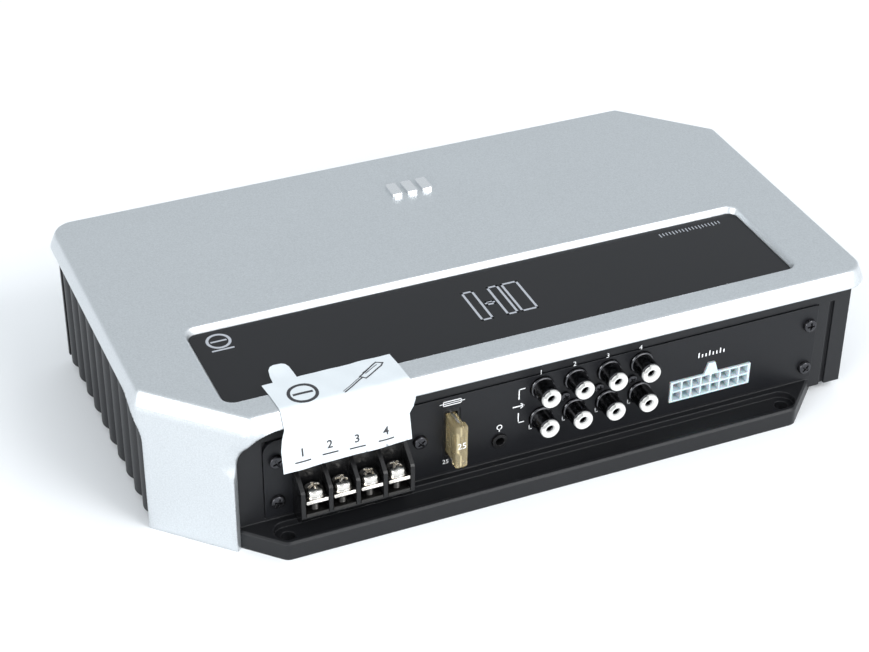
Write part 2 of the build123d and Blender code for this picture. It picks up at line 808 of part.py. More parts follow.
with BuildPart() as cover_screws:
    with BuildSketch(Plane.XY.offset(0.6)):
        with Locations(*cover_posts):
            Circle(3.0)
            Rectangle(3.2, 0.8, mode=Mode.SUBTRACT)
    extrude(amount=1.8)
    with BuildSketch(Plane.XY.offset(1.6)):
        with Locations(*cover_posts):
            Circle(1.45)
    extrude(amount=42)
finish(cover_screws.part, "cover_screws")


# ---------------------------------------------------------------- board and its parts
with BuildPart() as main_board:
    with BuildSketch(Plane.XY.offset(board_bottom)):
        Rectangle(board_length, board_width)
        with Locations(*board_posts):
            Circle(1.7, mode=Mode.SUBTRACT)
        # Corners cleared for the cut corners of the casting
        with Locations((-board_length / 2, -board_width / 2), (board_length / 2, board_width / 2)):
            Rectangle(34, 26, mode=Mode.SUBTRACT)
    extrude(amount=board_top - board_bottom)
finish(main_board.part, "main_board")

with BuildPart() as board_screws:
    with BuildSketch(Plane.XY.offset(board_top)):
        with Locations(*board_posts):
            Circle(2.8)
    extrude(amount=1.8)
    with BuildSketch(Plane.XY.offset(board_top + 0.7)):
        with Locations(*board_posts):
            Rectangle(3.0, 0.7)
    extrude(amount=1.1, mode=Mode.SUBTRACT)
    with BuildSketch(Plane.XY.offset(board_top)):
        with Locations(*board_posts):
            Circle(1.45)
    extrude(amount=-7)
finish(board_screws.part, "board_screws")

wall_face = side_x - wall
chip_back = wall_face - 0.5
chip_pins = range(-3, 4)

with BuildPart() as thermal_pads:
    with BuildSketch(Plane.YZ.offset(-wall_face)):
        with Locations(*[(y, 24) for y in chip_y]):
            Rectangle(18, 16)
        with Locations(*clamp_holes):
            Circle(2.4, mode=Mode.SUBTRACT)
    extrude(amount=0.5)
finish(thermal_pads.part, "thermal_pads")

with BuildPart() as amp_chips:
    with BuildSketch(Plane.YZ.offset(-chip_back)):
        with Locations(*[(y, 25) for y in chip_y]):
            Rectangle(16, 15)
        with Locations(*clamp_holes):
            Circle(2.4, mode=Mode.SUBTRACT)
    extrude(amount=4.5)
    with BuildSketch(Plane.YZ.offset(-chip_back + 1.5)):
        with Locations(*[(y + pin * 2.2, 17.8) for y in chip_y for pin in chip_pins]):
            Rectangle(0.8, 0.8)
    extrude(amount=14)
    with BuildSketch(Plane.XY.offset(board_top)):
        with Locations(*[(-chip_back + 15, y + pin * 2.2) for y in chip_y for pin in chip_pins]):
            Rectangle(1.0, 0.8)
    extrude(amount=18.2 - board_top)
finish(amp_chips.part, "amp_chips")

with BuildPart() as clamp_bar:
    with BuildSketch(Plane.YZ.offset(-chip_back + 4.5)):
        with Locations((7, 24)):
            Rectangle(73, 9)
        with Locations(*clamp_holes):
            Circle(1.7, mode=Mode.SUBTRACT)
    extrude(amount=2)
finish(clamp_bar.part, "clamp_bar")

with BuildPart() as clamp_screws:
    with BuildSketch(Plane.YZ.offset(-chip_back + 6.5)):
        with Locations(*clamp_holes):
            Circle(2.8)
            Rectangle(3.2, 0.8, mode=Mode.SUBTRACT)
    extrude(amount=1.8)
    with BuildSketch(Plane.YZ.offset(-chip_back + 7.2)):
        with Locations(*clamp_holes):
            Circle(1.45)
    extrude(amount=-10)
finish(clamp_screws.part, "clamp_screws")

with BuildPart() as dsp_chip:
    with BuildSketch(Plane.XY.offset(board_top)):
        with Locations((62, 6)):
            Rectangle(24, 24)
    extrude(amount=1.6)
    with BuildSketch(Plane.XY.offset(board_top)):
        with Locations((62, 6)):
            for lead in range(16):
                with Locations(((lead - 7.5) * 1.3, 12.6), ((lead - 7.5) * 1.3, -12.6)):
                    Rectangle(0.5, 1.6)
                with Locations((12.6, (lead - 7.5) * 1.3), (-12.6, (lead - 7.5) * 1.3)):
                    Rectangle(1.6, 0.5)
    extrude(amount=0.6)
finish(dsp_chip.part, "dsp_chip")

with BuildPart() as toroid_core:
    with BuildSketch(Plane.XY.offset(board_top + 1.6)):
        with Locations((-72, 8)):
            Circle(14)
            Circle(8, mode=Mode.SUBTRACT)
    extrude(amount=10)
finish(toroid_core.part, "toroid_core")

with BuildPart() as toroid_winding:
    with BuildSketch(Plane.XY.offset(board_top + 0.2)):
        with Locations((-72, 8)):
            Circle(15.3)
            Circle(6.7, mode=Mode.SUBTRACT)
            for spoke in range(4):
                Rectangle(2.4, 34, rotation=45 * spoke, mode=Mode.SUBTRACT)
    extrude(amount=12.8)
    with BuildSketch(Plane.XY.offset(board_top + 1.55)):
        with Locations((-72, 8)):
            Circle(14.05)
            Circle(7.95, mode=Mode.SUBTRACT)
    extrude(amount=10.1, mode=Mode.SUBTRACT)
finish(toroid_winding.part, "toroid_winding")

with BuildPart() as filter_capacitors:
    with BuildSketch(Plane.XY.offset(board_top)):
        with Locations((-44, 18), (-44, 0), (-26, 18), (-26, 0), (-8, 18), (-8, 0)):
            Circle(8)
    extrude(amount=32)
    chamfer(filter_capacitors.faces().sort_by(Axis.Z)[-6:].edges(), 0.8)
finish(filter_capacitors.part, "filter_capacitors")

with BuildPart() as output_inductors:
    with BuildSketch(Plane.XY.offset(board_top)):
        with Locations(*[(-100, -26 + 16 * i) for i in range(4)]):
            RectangleRounded(12, 12, 2)
        with Locations(*[(18 + 16 * i, -14) for i in range(4)]):
            RectangleRounded(12, 12, 2)
    extrude(amount=9)
finish(output_inductors.part, "output_inductors")

# ---------------------------------------------------------------- label over the terminals
with BuildPart() as terminal_label:
    with BuildSketch(Plane.YZ.offset(-101.4)):
        with BuildLine():
            Polyline(
                (-58.6, 62.05), (-76.7, 62.05), (-79.35, 55.0), (-79.75, 36.4), (-80.15, 36.4),
                (-79.75, 55.0), (-77.0, 62.45), (-58.6, 62.45), close=True,
            )
        make_face()
    extrude(amount=50.2)
finish(terminal_label.part, "terminal_label")
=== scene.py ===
import json
import math

import bmesh
import bpy
from mathutils import Matrix, Vector
from mathutils.geometry import delaunay_2d_cdt


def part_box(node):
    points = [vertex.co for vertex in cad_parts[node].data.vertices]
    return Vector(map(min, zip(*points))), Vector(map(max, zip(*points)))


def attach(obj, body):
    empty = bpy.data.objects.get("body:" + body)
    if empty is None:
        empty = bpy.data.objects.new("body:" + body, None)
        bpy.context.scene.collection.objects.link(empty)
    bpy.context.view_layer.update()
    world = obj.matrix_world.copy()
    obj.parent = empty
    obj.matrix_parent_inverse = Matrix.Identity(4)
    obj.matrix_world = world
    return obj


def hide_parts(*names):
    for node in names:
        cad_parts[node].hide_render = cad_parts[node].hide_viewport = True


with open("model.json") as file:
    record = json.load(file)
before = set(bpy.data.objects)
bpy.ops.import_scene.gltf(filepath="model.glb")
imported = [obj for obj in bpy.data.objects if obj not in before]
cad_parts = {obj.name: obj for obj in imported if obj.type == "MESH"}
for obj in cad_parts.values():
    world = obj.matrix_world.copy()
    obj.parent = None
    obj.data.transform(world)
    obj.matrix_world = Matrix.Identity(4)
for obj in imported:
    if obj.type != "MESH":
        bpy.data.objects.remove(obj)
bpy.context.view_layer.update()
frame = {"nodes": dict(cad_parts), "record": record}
nodes = frame["nodes"]
MM = 0.001

# ---------------------------------------------------------------- sizes of the unit, in millimetres
HEIGHT = 62.0
RIM_EDGE = 55.2                # lower edge of the cover's rim
COVER = (146.0, 79.0)          # half length and half depth of the cover
CORNER_CUT = 33.3
INLAY_CENTRE = (1.1, -40.1)
INLAY_HALF = (118.4, 25.2)
INLAY_CORNER = 5.0
SIDE_ARCH = (15.2, -33.0)      # radius, and the y where the arch starts
FRONT_ARCH = (17.2, -100.8)    # radius, and the x where the arch starts
COVER_WALL = 2.9
COVER_SKIN_Z = 59.6            # underside of the cover's top
TRAY_WALL, TRAY_BOTTOM = 1.4, 56.9
SOFT_CORNER, END_CORNER = 5, 11
LEG_TOP = 57.2                 # the legs run up over the rim's lower edge to here
LEG_ROUNDING = 0.6
RIM_LEAN = 0.382
STRIP_WIDTH, STRIP_SLOPE = 4.8, 0.38
STRIP_SOFTNESS, STRIP_FADE = 0.5, 9.0
# The rim and the recess's lip as (distance inwards from the outline, z).
RIM_PROFILE = ((4.6, 62.0), (4.05, 61.995), (3.45, 61.93), (3.0, 61.75), (2.62, 61.4), (2.35, 61.0),
               (2.1, 60.6), (1.72, 59.7), (0.76, 57.2), (0.34, 56.1), (0.24, 55.75), (0.3, 55.4),
               (0.6, RIM_EDGE), (COVER_WALL, RIM_EDGE), (COVER_WALL, COVER_SKIN_Z))
RECESS_PROFILE = ((-1.6, HEIGHT), (-0.9, 61.995), (-0.3, 61.92), (0.1, 61.6), (0.3, 61.1), (1.15, 59.5),
                  (1.2, 59.2), (1.2, 58.0))

TERMINAL_X = (-88.4, -77.6, -66.8, -56.0)
TERMINAL_Y = -75.9
PHONO_X = (6.3, 20.45, 34.6, 48.75)
PHONO_Z = (24.2, 38.3)
PANEL_SCREWS = ((-100.6, 35.0), (-100.6, 16.5), (-43.9, 27.1), (124.5, 35.8), (124.5, 15.3))
PHONO_SCREWS = ((16.3, 31.2), (30.8, 31.2), (45.1, 31.2))
PANEL_FACE = 70.0
HEAD_SEAT = 21.6               # z that the terminal screws' heads sit at


# ---------------------------------------------------------------- camera
def place_camera():
    azimuth, elevation, roll = (math.radians(a) for a in (-23.665155, 34.510326, 0.667296))
    back = Vector((
        math.sin(azimuth) * math.cos(elevation),
        -math.cos(azimuth) * math.cos(elevation),
        math.sin(elevation),
    ))
    right = (-back).cross(Vector((0, 0, 1))).normalized()
    up = right.cross(-back)
    tilted_right = math.cos(roll) * right + math.sin(roll) * up
    tilted_up = -math.sin(roll) * right + math.cos(roll) * up
    data = bpy.data.cameras.new("camera")
    data.sensor_width = 36.0
    data.lens = 85.249
    data.clip_start, data.clip_end = 0.01, 50
    camera = bpy.data.objects.new("camera", data)
    bpy.context.scene.collection.objects.link(camera)
    turn = Matrix((tilted_right, tilted_up, back)).transposed()
    place = (Vector((-4.784, 6.742, 20.4)) + back * 843.805) * MM
    camera.matrix_world = Matrix.Translation(place) @ turn.to_4x4()
    bpy.context.scene.camera = camera


# ---------------------------------------------------------------- shared shader effects
def new_group(name, inputs, outputs):
    """A shader group with its inputs as (name, socket type, default) and outputs as (name, type)."""
    group = bpy.data.node_groups.new(name, "ShaderNodeTree")
    for label, kind, default in inputs:
        group.interface.new_socket(label, in_out="INPUT", socket_type=kind).default_value = default
    for label, kind in outputs:
        group.interface.new_socket(label, in_out="OUTPUT", socket_type=kind)
    return group, group.nodes.new("NodeGroupInput"), group.nodes.new("NodeGroupOutput")


def add_node(tree, kind, values=None, **settings):
    node = tree.nodes.new(kind)
    for key, value in settings.items():
        setattr(node, key, value)
    for socket, value in (values or {}).items():
        node.inputs[socket].default_value = value
    return node


def speckle_group():
    """Colour that varies in fine grains over a broad drift, with a matching roughness and height."""
    group, put_in, put_out = new_group(
        "speckle",
        [("Base", "NodeSocketColor", (0.5, 0.5, 0.5, 1)), ("Grain Scale", "NodeSocketFloat", 900.0),
         ("Grain", "NodeSocketFloat", 0.1), ("Drift", "NodeSocketFloat", 0.05),
         ("Roughness", "NodeSocketFloat", 0.4), ("Roughness Spread", "NodeSocketFloat", 0.08)],
        [("Color", "NodeSocketColor"), ("Roughness", "NodeSocketFloat"), ("Height", "NodeSocketFloat")],
    )
    link = group.links.new
    place = add_node(group, "ShaderNodeTexCoord")
    grain = add_node(group, "ShaderNodeTexNoise", {"Detail": 3.0, "Roughness": 0.65})
    drift = add_node(group, "ShaderNodeTexNoise", {"Scale": 22.0, "Detail": 2.0})
    link(place.outputs["Object"], grain.inputs["Vector"])
    link(place.outputs["Object"], drift.inputs["Vector"])
    link(put_in.outputs["Grain Scale"], grain.inputs["Scale"])

    def swing(source, amount):
        """1 plus the noise's swing about its middle, times the amount."""
        centred = add_node(group, "ShaderNodeMath", {1: 0.5}, operation="SUBTRACT")
        scaled = add_node(group, "ShaderNodeMath", {2: 1.0}, operation="MULTIPLY_ADD")
        doubled = add_node(group, "ShaderNodeMath", {1: 2.0}, operation="MULTIPLY")
        link(source.outputs[0], centred.inputs[0])
        link(centred.outputs[0], doubled.inputs[0])
        link(doubled.outputs[0], scaled.inputs[0])
        link(put_in.outputs[amount], scaled.inputs[1])
        return scaled

    both = add_node(group, "ShaderNodeMath", operation="MULTIPLY")
    link(swing(grain, "Grain").outputs[0], both.inputs[0])
    link(swing(drift, "Drift").outputs[0], both.inputs[1])
    tint = add_node(group, "ShaderNodeVectorMath", operation="SCALE")
    link(put_in.outputs["Base"], tint.inputs[0])
    link(both.outputs[0], tint.inputs["Scale"])
    link(tint.outputs[0], put_out.inputs["Color"])
    rough = add_node(group, "ShaderNodeMath", operation="MULTIPLY")
    link(put_in.outputs["Roughness"], rough.inputs[0])
    link(swing(grain, "Roughness Spread").outputs[0], rough.inputs[1])
    link(rough.outputs[0], put_out.inputs["Roughness"])
    link(grain.outputs[0], put_out.inputs["Height"])
    return group


def soft_edge_group():
    """Normals rounded over the sharp edges, and a mask of those edges for a painted edge highlight."""
    group, put_in, put_out = new_group(
        "soft_edge",
        [("Radius", "NodeSocketFloat", 0.0004)],
        [("Normal", "NodeSocketVector"), ("Edge", "NodeSocketFloat")],
    )
    rounded = add_node(group, "ShaderNodeBevel", samples=4)
    group.links.new(put_in.outputs["Radius"], rounded.inputs["Radius"])
    shape = add_node(group, "ShaderNodeNewGeometry")
    match = add_node(group, "ShaderNodeVectorMath", operation="DOT_PRODUCT")
    group.links.new(rounded.outputs[0], match.inputs[0])
    group.links.new(shape.outputs["Normal"], match.inputs[1])
    edge = add_node(group, "ShaderNodeMapRange", {"From Min": 0.998, "From Max": 0.8})
    group.links.new(match.outputs["Value"], edge.inputs["Value"])
    group.links.new(rounded.outputs[0], put_out.inputs["Normal"])
    group.links.new(edge.outputs[0], put_out.inputs["Edge"])
    return group


SPECKLE = speckle_group()
SOFT_EDGE = soft_edge_group()


def finish_of(name, base, grain_scale=900.0, grain=0.1, drift=0.05, roughness=0.4, spread=0.08,
              bump=0.05, edge=0.0, painted_edge_highlight=0.0, **shader):
    """A material: speckled colour and roughness, fine bump, and rounded edges where edge is a radius, with a
    painted highlight lightening the colour along those edges where painted_edge_highlight is set.
    """
    material = bpy.data.materials.new(name)
    material.use_nodes = True
    tree = material.node_tree
    principled = tree.nodes["Principled BSDF"]
    for socket, value in shader.items():
        principled.inputs[socket.replace("_", " ")].default_value = value
    speckle = add_node(tree, "ShaderNodeGroup", node_tree=SPECKLE)
    for socket, value in (("Base", (*base, 1)), ("Grain Scale", grain_scale), ("Grain", grain),
                          ("Drift", drift), ("Roughness", roughness), ("Roughness Spread", spread)):
        speckle.inputs[socket].default_value = value
    height = add_node(tree, "ShaderNodeBump", {"Strength": bump, "Distance": 0.0002})
    tree.links.new(speckle.outputs["Height"], height.inputs["Height"])
    colour = speckle.outputs["Color"]
    if edge:
        soft = add_node(tree, "ShaderNodeGroup", node_tree=SOFT_EDGE)
        soft.inputs["Radius"].default_value = edge * MM
        tree.links.new(soft.outputs["Normal"], height.inputs["Normal"])
        # Painted highlight: the colour is mixed towards a lighter tone along the sharp edges.
        if painted_edge_highlight:
            edge_highlight_mix = add_node(tree, "ShaderNodeMix", data_type="RGBA", blend_type="MIX")
            amount = add_node(tree, "ShaderNodeMath", {1: painted_edge_highlight}, operation="MULTIPLY")
            highlight_colour = tuple(min(1.0, c * 2.6 + 0.02) for c in base)
            edge_highlight_mix.inputs[7].default_value = (*highlight_colour, 1)
            tree.links.new(soft.outputs["Edge"], amount.inputs[0])
            tree.links.new(amount.outputs[0], edge_highlight_mix.inputs[0])
            tree.links.new(colour, edge_highlight_mix.inputs[6])
            colour = edge_highlight_mix.outputs[2]
    tree.links.new(colour, principled.inputs["Base Color"])
    tree.links.new(speckle.outputs["Roughness"], principled.inputs["Roughness"])
    tree.links.new(height.outputs["Normal"], principled.inputs["Normal"])
    return material


FINISH = {
    "silver_paint": finish_of("silver_paint", (0.62, 0.648, 0.668), 1700, 0.24, 0.02, 0.36, 0.3, 0.3,
                              Metallic=0.85, Coat_Weight=0.25, Coat_Roughness=0.2),
    "gloss_inlay": finish_of("gloss_inlay", (0.0075, 0.0075, 0.009), 260, 0.1, 0.08, 0.10, 0.2, 0.01, 0.3,
                             Specular_IOR_Level=0.32),
    "polished_badge": finish_of("polished_badge", (0.86, 0.87, 0.88), 700, 0.04, 0.03, 0.16, 0.2, 0.02,
                                Metallic=1.0),
    # The black finishes' last number is the strength of a painted highlight, a lighter colour along their
    # sharp edges.
    "black_casting": finish_of("black_casting", (0.0095, 0.010, 0.0115), 1900, 0.3, 0.1, 0.42, 0.15, 0.25,
                               0.6, 0.6, Specular_IOR_Level=0.3),
    "black_panel": finish_of("black_panel", (0.0085, 0.009, 0.0108), 2200, 0.25, 0.06, 0.38, 0.12, 0.15,
                             0.25, 0.8, Specular_IOR_Level=0.26),
    "terminal_plastic": finish_of("terminal_plastic", (0.006, 0.006, 0.0065), 800, 0.15, 0.05, 0.22, 0.2,
                                  0.04, 0.25, 0.8, Specular_IOR_Level=0.35),
    "nickel": finish_of("nickel", (0.76, 0.735, 0.69), 1200, 0.08, 0.08, 0.17, 0.3, 0.06, 0.15, Metallic=1.0),
    "black_plastic": finish_of("black_plastic", (0.007, 0.007, 0.0075), 1500, 0.15, 0.05, 0.3, 0.15, 0.06,
                               0.25, 0.6, Specular_IOR_Level=0.35),
    "fuse_amber": finish_of("fuse_amber", (0.90, 0.76, 0.46), 300, 0.06, 0.12, 0.1, 0.2, 0.05,
                            Transmission_Weight=0.8, IOR=1.45),
    "tinned_metal": finish_of("tinned_metal", (0.72, 0.72, 0.70), 600, 0.08, 0.1, 0.3, 0.2, 0.05,
                              Metallic=1.0),
    # Dark nickel: the phono barrels' own dark finish, and painted shade on the contact sleeves that line the
    # sockets' bores.
    "dark_nickel": finish_of("dark_nickel", (0.085, 0.085, 0.09), 900, 0.1, 0.1, 0.18, 0.2, 0.03,
                             Metallic=1.0),
    "white_insulator": finish_of("white_insulator", (0.66, 0.66, 0.645), 500, 0.02, 0.03, 0.3, 0.1, 0.03),
    "natural_nylon": finish_of("natural_nylon", (0.56, 0.66, 0.70), 500, 0.04, 0.06, 0.34, 0.1, 0.05, 0.2,
                               Subsurface_Weight=0.35, Subsurface_Scale=0.002),
    "steel": finish_of("steel", (0.6, 0.6, 0.6), 700, 0.1, 0.1, 0.3, 0.2, 0.05, Metallic=1.0),
    "gold": finish_of("gold", (0.83, 0.62, 0.26), 700, 0.08, 0.06, 0.24, 0.2, 0.04, Metallic=1.0),
    "black_screw": finish_of("black_screw", (0.055, 0.055, 0.06), 900, 0.2, 0.1, 0.24, 0.2, 0.05,
                             Metallic=0.9),
    "circuit_board": finish_of("circuit_board", (0.02, 0.13, 0.055), 400, 0.2, 0.15, 0.35, 0.1, 0.08),
    "zinc": finish_of("zinc", (0.66, 0.67, 0.68), 600, 0.1, 0.1, 0.3, 0.2, 0.05, Metallic=1.0),
    "chip_epoxy": finish_of("chip_epoxy", (0.025, 0.025, 0.025), 1600, 0.2, 0.05, 0.5, 0.1, 0.1),
    "grey_silicone": finish_of("grey_silicone", (0.42, 0.43, 0.45), 900, 0.06, 0.05, 0.6, 0.1, 0.05),
    "ferrite": finish_of("ferrite", (0.07, 0.07, 0.07), 900, 0.2, 0.1, 0.55, 0.1, 0.1),
    "copper": finish_of("copper", (0.72, 0.34, 0.17), 800, 0.12, 0.1, 0.28, 0.2, 0.06, Metallic=1.0),
    "capacitor_sleeve": finish_of("capacitor_sleeve", (0.03, 0.035, 0.06), 500, 0.08, 0.05, 0.25, 0.1, 0.03),
    "label_vinyl": finish_of("label_vinyl", (0.64, 0.685, 0.715), 260, 0.015, 0.02, 0.42, 0.1, 0.03),
}
WHITE_PRINT = finish_of("white_print", (0.82, 0.83, 0.84), 1500, 0.08, 0.04, 0.5, 0.1, 0.03)
GREY_PRINT = finish_of("grey_print", (0.40, 0.42, 0.46), 1500, 0.08, 0.05, 0.3, 0.1, 0.02)
BLACK_PRINT = finish_of("black_print", (0.03, 0.03, 0.035), 1500, 0.1, 0.05, 0.5, 0.1, 0.02)
# Nickel painted dark as shade: the terminal plates and screw shanks that lie in shade under the clamps.
NICKEL_PAINTED_SHADE = finish_of("nickel_painted_shade", (0.075, 0.073, 0.07), 1200, 0.15, 0.1, 0.38, 0.2, 0.08, Metallic=1.0)
SLOT_OF = {p["node"]: p["material_slot"] for p in frame["record"]["subparts"]}


# ---------------------------------------------------------------- mesh helpers
def piece(name, points, faces, material, body="housing", slot=None, sharp=38, replaces=()):
    """A mesh piece from points in millimetres, smooth but for its sharp edges, riding on its body."""
    mesh = bpy.data.meshes.new(name)
    mesh.from_pydata([tuple(c * MM for c in p) for p in points], [], faces)
    return piece_from(name, mesh, material, body, slot, sharp, replaces)


def piece_from(name, mesh, material, body="housing", slot=None, sharp=38, replaces=()):
    bm = bmesh.new()
    bm.from_mesh(mesh)
    bmesh.ops.remove_doubles(bm, verts=bm.verts, dist=2e-6)
    bmesh.ops.dissolve_degenerate(bm, edges=bm.edges, dist=1e-7)
    bmesh.ops.recalc_face_normals(bm, faces=bm.faces)
    bm.to_mesh(mesh)
    bm.free()
    mesh.shade_smooth()
    mesh.set_sharp_from_angle(angle=math.radians(sharp))
    mesh.materials.clear()
    mesh.materials.append(material)
    made = bpy.data.objects.new(name, mesh)
    bpy.context.scene.collection.objects.link(made)
    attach(made, body)
    if replaces:
        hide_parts(*replaces)
    return made


def lathe(profile, segments=48):
    """Points and faces of a closed profile of (radius, height) turned about Z. Radius 0 closes the shape."""
    points, faces = [], []
    for step in range(segments):
        angle = 2 * math.pi * step / segments
        points += [(r * math.cos(angle), r * math.sin(angle), h) for r, h in profile]
    rows = len(profile)
    for step in range(segments):
        here, there = step * rows, (step + 1) % segments * rows
        faces += [(here + i, there + i, there + i + 1, here + i + 1) for i in range(rows - 1)]
    return points, faces


def front_place(x, z, depth, side=1):
    """Puts a shape whose axis is Z onto a connector side: Z turns outwards from the panel."""
    def place(point):
        a, b, h = point
        return (side * (x + a), -side * (depth + h), z + b)
    return place


def gather(shapes):
    """One list of points and faces out of several (points, faces, place) shapes."""
    points, faces = [], []
    for shape_points, shape_faces, place in shapes:
        start = len(points)
        points += [place(p) for p in shape_points]
        faces += [tuple(start + i for i in face) for face in shape_faces]
    return points, faces


def text_shapes(text, size, bold=0.0):
    """Flat outline mesh of generic numerals, in millimetres about their middle."""
    curve = bpy.data.curves.new("numerals", "FONT")
    curve.body, curve.size, curve.align_x, curve.align_y = text, size, "CENTER", "CENTER"
    curve.resolution_u = 3
    curve.offset = bold
    holder = bpy.data.objects.new("numerals", curve)
    bpy.context.scene.collection.objects.link(holder)
    bpy.context.view_layer.update()
    flat = bpy.data.meshes.new_from_object(holder)
    points = [(v.co.x, v.co.y, 0.0) for v in flat.vertices]
    faces = [tuple(p.vertices) for p in flat.polygons]
    bpy.data.objects.remove(holder)
    bpy.data.curves.remove(curve)
    bpy.data.meshes.remove(flat)
    return points, faces


def bar(x0, y0, x1, y1, width):
    """A flat straight stroke."""
    along = Vector((x1 - x0, y1 - y0)).normalized() * width / 2
    across = Vector((-along.y, along.x))
    corners = [Vector((x0, y0)) - along - across, Vector((x1, y1)) + along - across,
               Vector((x1, y1)) + along + across, Vector((x0, y0)) - along + across]
    return [(c.x, c.y, 0.0) for c in corners], [(0, 1, 2, 3)]


def ring(x, y, radius, width, segments=28):
    """A flat ring."""
    points = []
    for step in range(segments + 1):
        angle = 2 * math.pi * (step / segments)
        for r in (radius - width / 2, radius + width / 2):
            points.append((x + r * math.cos(angle), y + r * math.sin(angle), 0.0))
    return points, [(2 * i, 2 * i + 1, 2 * i + 3, 2 * i + 2) for i in range(segments)]


def swept(first, last):
    """The angle from one flat vector to another, anticlockwise positive."""
    return math.atan2(first.x * last.y - first.y * last.x, first.dot(last))


def turned(flat, angle):
    """A flat vector turned anticlockwise."""
    c, s = math.cos(angle), math.sin(angle)
    return Vector((c * flat.x - s * flat.y, s * flat.x + c * flat.y))


def rounded_corner(corner, before, after, radius):
    """The centre, start and end of the arc that rounds a flat corner between two directions."""
    half = before.angle(after) / 2
    reach = radius / math.tan(half)
    centre = corner + (before + after).normalized() * radius / math.sin(half)
    return centre, corner + before * reach, corner + after * reach


def inside(point, loop):
    """True if a flat point lies within a closed loop."""
    found = False
    for a, b in zip(loop, loop[1:] + loop[:1]):
        if (a[1] > point[1]) != (b[1] > point[1]):
            if point[0] < (b[0] - a[0]) * (point[1] - a[1]) / (b[1] - a[1]) + a[0]:
                found = not found
    return found


def distance_to(point, line):
    """The distance from a flat point to an open line of points."""
    best = math.inf
    for a, b in zip(line, line[1:]):
        along = b - a
        share = min(max((point - a).dot(along) / max(along.length_squared, 1e-12), 0), 1)
        best = min(best, (point - a - along * share).length)
    return best


def triangles_in(flat, loops, hole=None, tolerance=1e-5):
    """Triangles inside flat loops, with the points they use and where each point came from."""
    edges = [(loop[i], loop[(i + 1) % len(loop)]) for loop in loops for i in range(len(loop))]
    places, _, triangles, sources, *_ = delaunay_2d_cdt(flat, edges, [], 0, tolerance)
    outline = [flat[i] for i in loops[0]]
    kept = []
    for triangle in triangles:
        centre = sum((places[i] for i in triangle), Vector((0, 0))) / 3
        if inside(centre, outline) and not (hole and inside(centre, hole)):
            kept.append(tuple(triangle))
    return places, kept, sources


def rounded_rectangle(centre, half, radius, steps):
    """The points of a rectangle with round corners, anticlockwise."""
    loop = []
    for sx, sy, quarter in ((1, 1, 0), (-1, 1, 1), (-1, -1, 2), (1, -1, 3)):
        for step in range(steps + 1):
            angle = math.pi / 2 * (quarter + step / steps)
            loop.append((centre[0] + sx * (half[0] - radius) + radius * math.cos(angle),
                         centre[1] + sy * (half[1] - radius) + radius * math.sin(angle)))
    return loop


def skin(rows, count):
    """The faces between rows of points that each close round, with a cap at each end."""
    faces = [(row * count + k, row * count + (k + 1) % count,
              (row + 1) * count + (k + 1) % count, (row + 1) * count + k)
             for row in range(rows - 1) for k in range(count)]
    return faces + [tuple(range(count)), tuple(range((rows - 1) * count, rows * count))]


# ---------------------------------------------------------------- cover
def cover_outline():
    """The cover's plan as (x, y, outward x, outward y) all round, with two corners cut at 45 degrees."""
    x, y = COVER
    cut = CORNER_CUT
    corners = [((-x + cut, -y), SOFT_CORNER), ((x, -y), END_CORNER), ((x, y - cut), SOFT_CORNER),
               ((x - cut, y), SOFT_CORNER), ((-x, y), END_CORNER), ((-x, -y + cut), SOFT_CORNER)]
    arcs = []
    for i, (corner, radius) in enumerate(corners):
        here = Vector(corner)
        back = (Vector(corners[i - 1][0]) - here).normalized()
        ahead = (Vector(corners[(i + 1) % len(corners)][0]) - here).normalized()
        arcs.append((radius, *rounded_corner(here, back, ahead, radius)))
    outline = []
    for i, (radius, centre, start, end) in enumerate(arcs):
        turn = swept(start - centre, end - centre)
        steps = max(5, round(abs(turn) * radius / 0.9))
        for step in range(steps):
            out = turned(start - centre, turn * step / steps)
            outline.append((*(centre + out), *out.normalized()))
        run = arcs[(i + 1) % len(arcs)][2] - end
        out = run.normalized()
        steps = max(4, round(run.length / 2.5))
        for step in range(steps):
            outline.append((*(end + run * step / steps), out.y, -out.x))
    return outline


def cover_shell():
    """The painted cover: sloped rim, two legs with arched edges, and the recess for the inlay."""
    outline = cover_outline()
    bm = bmesh.new()

    def ring_of(inset, z, loop):
        return [bm.verts.new(((px - nx * inset) * MM, (py - ny * inset) * MM, z * MM))
                for px, py, nx, ny in loop]

    def bridge(first, second):
        n = len(first)
        for i in range(n):
            bm.faces.new((first[i], first[(i + 1) % n], second[(i + 1) % n], second[i]))

    rings = [ring_of(inset, z, outline) for inset, z in RIM_PROFILE]
    for first, second in zip(rings, rings[1:]):
        bridge(first, second)

    def recess_ring(inset, z):
        half = (INLAY_HALF[0] - inset, INLAY_HALF[1] - inset)
        loop = rounded_rectangle(INLAY_CENTRE, half, max(0.6, INLAY_CORNER - inset), 8)
        return [bm.verts.new((x * MM, y * MM, z * MM)) for x, y in loop]

    recess = [recess_ring(inset, z) for inset, z in RECESS_PROFILE]
    for first, second in zip(recess, recess[1:]):
        bridge(first, second)
    bm.faces.new(recess[-1])
    tray = [recess_ring(-TRAY_WALL, COVER_SKIN_Z), recess_ring(-TRAY_WALL, TRAY_BOTTOM)]
    bridge(*tray)
    bm.faces.new(tray[-1])

    def fill_between(outer, inner):
        verts = outer + inner
        flat = [v.co.xy / MM for v in verts]
        loops = [list(range(len(outer))), list(range(len(outer), len(verts)))]
        hole = [Vector(p) for p in flat[len(outer):]]
        _, triangles, sources = triangles_in(flat, loops, hole)
        for triangle in triangles:
            bm.faces.new([verts[sources[i][0]] for i in triangle])

    fill_between(rings[0], recess[0])
    fill_between(rings[-1], tray[0])
    for turn in (1, -1):
        leg_surface(bm, turn)
    mesh = bpy.data.meshes.new("cover_shell")
    bm.to_mesh(mesh)
    bm.free()
    return piece_from("cover_shell", mesh, FINISH["silver_paint"], slot="silver_paint", sharp=50,
                      replaces=("top_cover",))


